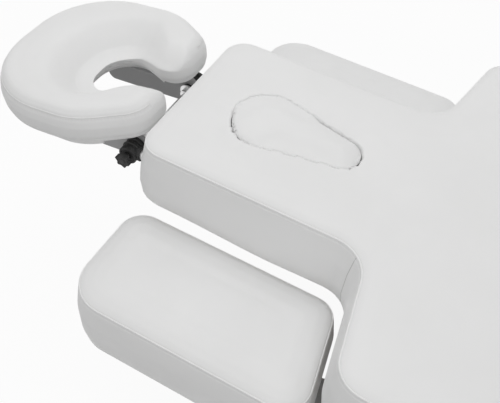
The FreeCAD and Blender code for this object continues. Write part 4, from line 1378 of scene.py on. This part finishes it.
def rod(
    name: str, middle: Vector, axis: Axis, radius: float, length: float, corners: int = 48,
) -> Piece:
    """Round blank for a turned piece.

    Args:
        name: Name of the piece.
        middle: Middle of the blank.
        axis: Direction of its length.
        radius: Radius of the blank.
        length: Length along the axis.
        corners: Corners round the rim.

    Returns:
        The mesh object.
    """
    bpy.ops.object.select_all(action="DESELECT")
    bpy.ops.mesh.primitive_cylinder_add(
        vertices=corners, radius=radius, depth=length, location=middle, rotation=axis.value,
    )
    return settle(bpy.context.active_object, name)


def block(name: str, low: Vector, high: Vector) -> Piece:
    """Square blank between two corners."""
    bpy.ops.object.select_all(action="DESELECT")
    bpy.ops.mesh.primitive_cube_add(size=1, location=(low + high) / 2)
    obj = bpy.context.active_object
    obj.scale = high - low
    return settle(obj, name)


@contextmanager
def editing(obj: Piece) -> Iterator[None]:
    """Edit mode on one object."""
    alone(obj)
    bpy.ops.object.mode_set(mode="EDIT")
    yield
    bpy.ops.object.mode_set(mode="OBJECT")


def clear_picks(obj: Piece, mode: tuple[bool, bool, bool]) -> None:
    """Deselect all of a mesh and set what is picked: vertices, edges or faces."""
    bpy.context.tool_settings.mesh_select_mode = mode
    for kind in (obj.data.vertices, obj.data.edges, obj.data.polygons):
        kind.foreach_set("select", [False] * len(kind))


def pick_faces(obj: Piece, test: Callable[[Vector, Vector], bool]) -> None:
    """Select the faces whose middle and normal pass a test."""
    clear_picks(obj, (False, False, True))
    for face in obj.data.polygons:
        face.select = test(face.center, face.normal)


def pick_edges(obj: Piece, test: Callable[[Vector, Vector], bool]) -> None:
    """Select the edges whose two ends pass a test."""
    clear_picks(obj, (False, True, False))
    for edge in obj.data.edges:
        first, second = (obj.data.vertices[i].co for i in edge.vertices)
        edge.select = test(first, second)


def soften(obj: Piece, width: float, segments: int = 2) -> None:
    """Break the sharp edges and shade the rest smooth."""
    bevel = obj.modifiers.new("edges", "BEVEL")
    bevel.width = width
    bevel.segments = segments
    bevel.limit_method = "ANGLE"
    bevel.angle_limit = BEVEL_ANGLE
    apply_all(obj)
    alone(obj)
    bpy.ops.object.shade_smooth_by_angle(angle=SMOOTH_ANGLE)


def fit(obj: Piece, slot: str, body: str) -> Piece:
    """Give a piece its finish and the body that it rides on."""
    obj.data.materials.clear()
    obj.data.materials.append(SLOT_FINISHES[slot].material())
    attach(obj, body)
    LOG.info("piece %s on %s", obj.name, body)
    return obj


def copy_of(source: Piece, name: str, matrix: Matrix) -> Piece:
    """Copy of a modelled piece with its own mesh, put in place by a matrix."""
    mesh = source.data.copy()
    mesh.transform(matrix)
    mesh.update()
    mesh.name = name
    obj = bpy.data.objects.new(name, mesh)
    bpy.context.scene.collection.objects.link(obj)
    return obj


def at(x: float, y: float, z: float) -> Vector:
    """Place measured from the head edge of the backrest."""
    return Vector((x + HEAD_EDGE_X, y, z))


@dataclass
class StarKnob:
    """Hand knob with six scalloped lobes on a short neck."""

    name: str
    node: str
    body: str
    outward: int
    lobes: int = 6
    scallop: float = 0.26
    head_share: float = 0.62
    recess: float = 0.0012
    spread: float = 1.04
    turn: float = math.radians(12)
    roundness: float = 1.4
    neck_share: float = 0.6
    face_shares: tuple[float, float, float, float] = (0.90, 0.94, 0.55, 0.94)
    edge: float = 0.0004

    def build(self) -> Piece:
        """Turn the head, cut the lobes, pull out the neck and sink the face.

        Returns:
            The knob's object.
        """
        low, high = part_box(self.node)
        middle = (low + high) / 2
        radius = (high.x - low.x) / 2
        length = high.y - low.y
        face_y = high.y if self.outward > 0 else low.y
        centre = Vector((middle.x, face_y - self.outward * length * self.head_share / 2, middle.z))
        knob = rod(self.name, centre, Axis.Y, radius * self.spread, length * self.head_share, corners=60)
        self._scallop(knob, middle)
        self._face(knob, Vector((middle.x, face_y, middle.z)))
        self._neck(knob, length * (1 - self.head_share))
        soften(knob, self.edge)
        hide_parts(self.node)
        return fit(knob, "black_plastic", self.body)

    def _scallop(self, knob: Piece, middle: Vector) -> None:
        """Draw the rim in between the lobes."""
        places = coordinates(knob)
        across = places[:, [0, 2]] - np.array([middle.x, middle.z])
        angle = np.arctan2(across[:, 1], across[:, 0]) + self.turn
        dip = np.abs(np.sin(angle * self.lobes / 2)) ** self.roundness
        places[:, [0, 2]] -= across * (self.scallop * dip)[:, None]
        put(knob, places)

    def _face(self, knob: Piece, centre: Vector) -> None:
        """Sink the outer face inside a narrow brim, with a low boss in its middle."""
        pick_faces(knob, lambda _, normal: normal.y * self.outward > ALONG)
        with editing(knob):
            for shrink, depth in zip(self.face_shares, (0.0, -self.recess, 0.0, self.recess)):
                bpy.ops.mesh.extrude_region_move(
                    TRANSFORM_OT_translate={"value": (0, self.outward * depth, 0)},
                )
                bpy.ops.transform.resize(value=(shrink, 1, shrink), center_override=centre)

    def _neck(self, knob: Piece, length: float) -> None:
        """Pull a round neck out of the back of the head."""
        pick_faces(knob, lambda _, normal: normal.y * self.outward < -ALONG)
        centre = sum((face.center for face in knob.data.polygons if face.select), Vector())
        with editing(knob):
            bpy.ops.mesh.extrude_region_move(TRANSFORM_OT_translate={"value": (0, 0, 0)})
            bpy.ops.transform.resize(
                value=(self.neck_share, 1, self.neck_share), center_override=centre,
            )
            bpy.ops.mesh.extrude_region_move(
                TRANSFORM_OT_translate={"value": (0, -self.outward * length, 0)},
            )


@dataclass
class CradleClutches:
    """Two friction clutches on the cradle's posts."""

    tilt: Vector = field(default_factory=lambda: CRADLE_AXIS.copy())
    post_y: float = 0.102
    radius: float = 0.0172
    width: float = 0.032
    boss_radius: float = 0.013
    boss_end: float = 0.0205
    grooves: tuple[Span, ...] = ((-0.0050, -0.0015), (0.0060, 0.0095))
    groove: Span = (0.0004, -0.0009)
    drum_rim: float = 0.0035
    drum_dish: Span = (0.0006, -0.0014)
    drum_edge: float = 0.0012
    boss_rim: float = 0.0016
    boss_dish: Span = (0.0004, -0.0010)
    boss_edge: float = 0.0010

    def build(self) -> None:
        """Make a clutch on each side."""
        for side in Side:
            clutch = self._clutch(side)
            if side is Side.NEAR:
                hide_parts("clutch_housings")
            fit(clutch, "black_plastic", "cradle_mount")

    def _clutch(self, side: Side) -> Piece:
        """Drum with a stepped outer face and a grip groove, and a boss round its post."""
        middle = self.tilt + Vector((0, side.value * self.post_y, 0))
        drum = rod("cradle_clutch_" + side.word, middle, Axis.Y, self.radius, self.width, corners=64)
        for offset in (edge for groove in self.grooves for edge in groove):
            with editing(drum):
                bpy.ops.mesh.select_all(action="SELECT")
                bpy.ops.mesh.bisect(plane_co=middle + Vector((0, offset, 0)), plane_no=(0, 1, 0))
        for start, end in self.grooves:
            pick_faces(
                drum, lambda spot, normal: start < spot.y - middle.y < end and abs(normal.y) < 0.5,
            )
            with editing(drum):
                bpy.ops.mesh.inset(thickness=self.groove[0], depth=self.groove[1])
        pick_faces(drum, lambda _, normal: normal.y * side.value > ALONG)
        with editing(drum):
            bpy.ops.mesh.inset(thickness=self.drum_rim, depth=0)
            bpy.ops.mesh.inset(thickness=self.drum_dish[0], depth=self.drum_dish[1])
        soften(drum, self.drum_edge)
        return self._with_boss(drum, middle)

    def _with_boss(self, drum: Piece, middle: Vector) -> Piece:
        """Join a stepped boss to the drum, towards the table."""
        reach = self.boss_end
        boss = rod("boss", middle + Vector((reach / 2, 0, 0)), Axis.X, self.boss_radius, reach)
        pick_faces(boss, lambda _, normal: normal.x > ALONG)
        with editing(boss):
            bpy.ops.mesh.inset(thickness=self.boss_rim, depth=0)
            bpy.ops.mesh.inset(thickness=self.boss_dish[0], depth=self.boss_dish[1])
        soften(boss, self.boss_edge)
        name = drum.name
        bpy.ops.object.select_all(action="DESELECT")
        boss.select_set(True)
        drum.select_set(True)
        bpy.context.view_layer.objects.active = drum
        bpy.ops.object.join()
        return settle(drum, name)


@dataclass
class Fastener:
    """Round-headed screw with a round socket, modelled once and copied."""

    radius: float
    height: float
    crown_share: float = 0.5
    rim_share: float = 0.22
    socket_share: float = 0.03
    socket_depth: float = 0.6
    edge_share: float = 0.05
    blank: Piece = field(init=False)

    def __post_init__(self) -> None:
        """Model the screw head, standing on the origin along Z."""
        middle = Vector((0, 0, self.height / 2))
        head = rod("screw_blank", middle, Axis.Z, self.radius, self.height, corners=24)
        pick_faces(head, lambda _, normal: normal.z > ALONG)
        with editing(head):
            bpy.ops.mesh.bevel(offset=self.height * self.crown_share, segments=3, affect="EDGES")
        pick_faces(head, lambda centre, normal: normal.z > 0.99 and centre.z > self.height * 0.9)
        with editing(head):
            bpy.ops.mesh.inset(thickness=self.radius * self.rim_share, depth=0)
            bpy.ops.mesh.inset(
                thickness=self.radius * self.socket_share, depth=-self.height * self.socket_depth,
            )
        soften(head, self.height * self.edge_share, 1)
        self.blank = head

    def place(self, name: str, body: str, spots: list[tuple[Vector, Vector]]) -> None:
        """Put copies at the given places, each with the direction of its head.

        Args:
            name: Name of the copies.
            body: Body that they ride on.
            spots: Place and direction of each copy.
        """
        for index, (spot, direction) in enumerate(spots):
            turn = direction.to_track_quat("Z", "X").to_matrix().to_4x4()
            made = copy_of(self.blank, f"{name}_{index + 1}", Matrix.Translation(spot) @ turn)
            fit(made, "bare_steel", body)

    def scrap(self) -> None:
        """Remove the blank."""
        bpy.data.objects.remove(self.blank)


@dataclass
class Fixings:
    """Screws and bolts of the frame, the boards and the cradle."""

    screw_size: Span = (0.0042, 0.0026)
    bolt_size: Span = (0.0070, 0.0048)
    cradle_plate: Span = (0.0827, 0.545)
    cradle_plate_x: Span = (-0.228, -0.112)
    cradle_under: Span = (0.070, 0.5657)
    cradle_under_x: Span = (-0.205, -0.130)
    carrier_half: Span = (0.038, 0.030)
    column_half: Span = (0.064, 0.104)
    column_x: Span = (0.520, 1.446)
    rail_y: float = 0.105
    rail_tall: float = 0.025
    carrier: Span = (0.3138, 0.262)
    carrier_thick: float = 0.006
    plate_thick: float = 0.008
    box_inset: float = 0.014
    drive_level: float = 0.35

    def build(self) -> None:
        """Place every screw and bolt."""
        screw = Fastener(*self.screw_size)
        bolt = Fastener(*self.bolt_size)
        self._cradle(screw)
        self._boards(screw)
        self._columns(bolt)
        self._boxes(screw)
        screw.scrap()
        bolt.scrap()

    def _cradle(self, screw: Fastener) -> None:
        """Screws in the plates and up into the cradle's board."""
        turn = tilt_about_axis(-CRADLE_TILT)
        down = turn.to_3x3() @ Vector((0, 0, -1))
        for side in Side:
            inward = Vector((0, -side.value, 0))
            for word, (y, level), places, facing in (
                ("plate", self.cradle_plate, self.cradle_plate_x, inward),
                ("board", self.cradle_under, self.cradle_under_x, down),
            ):
                spots = [(turn @ at(x, y * side.value, level), facing) for x in places]
                screw.place(f"cradle_{word}_screw_{side.word}", "cradle", spots)

    def _boards(self, screw: Fastener) -> None:
        """Screws through the section frames and the armrest carriers into the boards."""
        down = Vector((0, 0, -1))
        level = frame_level("armrest_board_near") - self.carrier_thick
        for section, body, places in (
            ("back", "backrest", (0.12, 0.30, 0.54, 0.66)),
            ("leg", "leg_rest", (1.31, 1.48, 1.68, 1.78)),
        ):
            under = frame_level(section + "_board") - self.rail_tall
            spots = [(at(x, y, under), down) for x in places for y in (-self.rail_y, self.rail_y)]
            screw.place(section + "_board_screw", body, spots)
        half_x, half_y = self.carrier_half
        for side in Side:
            spots = [
                (at(self.carrier[0] + x, side.value * (self.carrier[1] + y), level), down)
                for x in (-half_x, half_x) for y in (-half_y, half_y)
            ]
            screw.place("armrest_board_screw_" + side.word, "armrest_" + side.word, spots)

    def _columns(self, bolt: Fastener) -> None:
        """Bolts at the foot and the head plate of each column."""
        half_x, half_y = self.column_half
        corners = [(x, y) for x in (-half_x, half_x) for y in (-half_y, half_y)]
        foot_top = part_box("base_foot_head")[1].z
        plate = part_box("column_inner_head")[1].z - self.plate_thick
        for word, x in zip(("head", "foot"), self.column_x):
            low = [(at(x + dx, dy, foot_top), Vector((0, 0, 1))) for dx, dy in corners]
            bolt.place("column_foot_bolt_" + word, "base", low)
            high = [(at(x + dx, dy, plate), Vector((0, 0, -1))) for dx, dy in corners]
            bolt.place("column_plate_bolt_" + word, "lift", high)

    def _boxes(self, screw: Fastener) -> None:
        """Screws of the drive housing and the control box."""
        low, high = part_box("drive_housing")
        level = low.z + self.drive_level * (high.z - low.z)
        spots = []
        for share in (0.06, 0.28, 0.5, 0.72, 0.94):
            x = low.x + share * (high.x - low.x)
            for y in (low.y, high.y):
                spots.append((Vector((x, y, level)), Vector((0, math.copysign(1, y), 0))))
        screw.place("drive_housing_screw", "lift", spots)
        low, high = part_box("control_box")
        inset = self.box_inset
        spots = [
            (Vector((x, y, low.z)), Vector((0, 0, -1)))
            for x in (low.x + inset, high.x - inset) for y in (low.y + inset, high.y - inset)
        ]
        screw.place("control_box_screw", "lift", spots)


def frame_level(node: str) -> float:
    """Underside of a board node."""
    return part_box(node)[0].z


@dataclass
class ColumnCollars:
    """Black guide collars at the mouths of the telescoping tubes."""

    wall: float = 0.0028
    height: float = 0.013
    corner: float = 0.016
    skin: float = 0.0002
    edge: float = 0.0008
    upper_share: float = 0.72

    def build(self) -> None:
        """One collar on each outer and middle tube."""
        for word in ("head", "foot"):
            self._collar("column_outer_" + word, "base", self.height)
            self._collar("column_middle_" + word, "middle_" + word, self.height * self.upper_share)

    def _collar(self, node: str, body: str, height: float) -> None:
        """Ring round the upper end of one tube.

        Args:
            node: Tube that carries the ring.
            body: Body that it rides on.
            height: Height of the ring.
        """
        low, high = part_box(node)
        skin = Vector((self.skin, self.skin, 0))
        foot = Vector((low.x, low.y, high.z - height)) - skin
        ring = block(node + "_collar", foot, high + skin)
        pick_edges(ring, lambda a, b: abs(a.z - b.z) > height * 0.5)
        with editing(ring):
            bpy.ops.mesh.bevel(offset=self.corner, segments=6, affect="EDGES")
        pick_faces(ring, lambda _, normal: abs(normal.z) > ALONG)
        with editing(ring):
            bpy.ops.mesh.delete(type="FACE")
        shell = ring.modifiers.new("wall", "SOLIDIFY")
        shell.thickness = self.wall
        shell.offset = 1
        soften(ring, self.edge)
        fit(ring, "black_plastic", body)


@dataclass
class TubeCaps:
    """Plastic caps in the open ends of the frame tubes."""

    thick: float = 0.003
    corner: float = 0.004
    edge: float = 0.0009
    dish_share: float = 0.3
    rail_y: float = 0.105
    lift_rail: tuple[float, float, float] = (0.115, 0.030, 0.050)
    lift_ends: Span = (0.430, 1.690)
    rail_ends: Span = (0.030, 1.802)
    crossbars: Span = (0.7865, 1.2755)
    risers: Span = (0.837, 1.225)
    outrigger_x: float = 0.450
    tube: float = 0.025
    bar_end: float = 0.290
    outrigger_end: float = 0.318
    riser_wide: float = 0.040

    def build(self) -> None:
        """Cap the rails and crossbars."""
        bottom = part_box("column_inner_head")[1].z
        rail_y, wide, tall = self.lift_rail
        rails = [(x, y) for x in self.lift_ends for y in (-rail_y, rail_y)]
        for index, (x, y) in enumerate(rails):
            out = Vector((-1 if index < 2 else 1, 0, 0))
            self._cap(f"lift_rail_cap_{index + 1}", "lift", at(x, y, bottom + tall / 2), out, wide, tall)
        for index, side in enumerate(Side):
            y = self.rail_y * side.value
            for word, x, out in zip(("back", "leg"), self.rail_ends, (-1, 1)):
                self._square(f"{word}_rail_cap_{index + 1}", word, (x, y), Vector((out, 0, 0)))
        for side in Side:
            self._cross_ends(side, bottom + tall)

    def _cross_ends(self, side: Side, riser_foot: float) -> None:
        """Cap the crossbars, the outrigger and the risers on one side."""
        out = Vector((0, side.value, 0))
        y = self.bar_end * side.value
        for word, x in zip(("back", "leg"), self.crossbars):
            self._square(f"{word}_crossbar_cap_{side.word}", word, (x, y), out)
        arm_y = self.outrigger_end * side.value
        self._square("outrigger_cap_" + side.word, "back", (self.outrigger_x, arm_y), out)
        tall = frame_level("seat_board") - riser_foot
        for word, x in zip(("head", "foot"), self.risers):
            middle = at(x, y, riser_foot + tall / 2)
            self._cap(f"riser_cap_{word}_{side.word}", "lift", middle, out, self.riser_wide, tall)

    def _square(self, name: str, section: str, spot: Span, outward: Vector) -> None:
        """Cap on a square tube under the backrest's or the leg rest's board."""
        body = "backrest" if section == "back" else "leg_rest"
        level = frame_level(section + "_board") - self.tube / 2
        self._cap(name, body, at(*spot, level), outward, self.tube, self.tube)

    def _cap(self, name: str, body: str, spot: Vector, outward: Vector, wide: float, tall: float) -> None:
        """One cap on the end of a tube.

        Args:
            name: Name of the piece.
            body: Body that it rides on.
            spot: Middle of the tube's end.
            outward: Direction out of the tube.
            wide: Width of the tube.
            tall: Height of the tube.
        """
        across = Vector((abs(outward.y), abs(outward.x), 0)) * wide / 2 + Vector((0, 0, tall / 2))
        ends = (spot - across, spot + across + outward * self.thick)
        low = Vector([min(a, b) for a, b in zip(*ends)])
        high = Vector([max(a, b) for a, b in zip(*ends)])
        cap = block(name, low, high)
        pick_faces(cap, lambda _, normal: normal.dot(outward) > ALONG)
        with editing(cap):
            bpy.ops.mesh.inset(thickness=self.corner, depth=0)
            share = self.dish_share
            bpy.ops.mesh.inset(thickness=self.corner * share, depth=-self.thick * share)
        soften(cap, self.edge)
        fit(cap, "black_plastic", body)


def main() -> None:
    """Build the table around its frame."""
    logging.basicConfig(level=logging.INFO, format="%(message)s")
    Underframe().dress()
    TablePads().build()
    CradleClutches().build()
    StarKnob("cradle_star_knob", "cradle_knob", "cradle_knob_grip", -1).build()
    for side in Side:
        knob = "armrest_knob_" + side.word
        StarKnob("armrest_star_knob_" + side.word, knob, "armrest_knob_grip_" + side.word, -side.value).build()
    ColumnCollars().build()
    TubeCaps().build()
    Fixings().build()
    Studio().build()


if __name__ == "__main__":
    main()
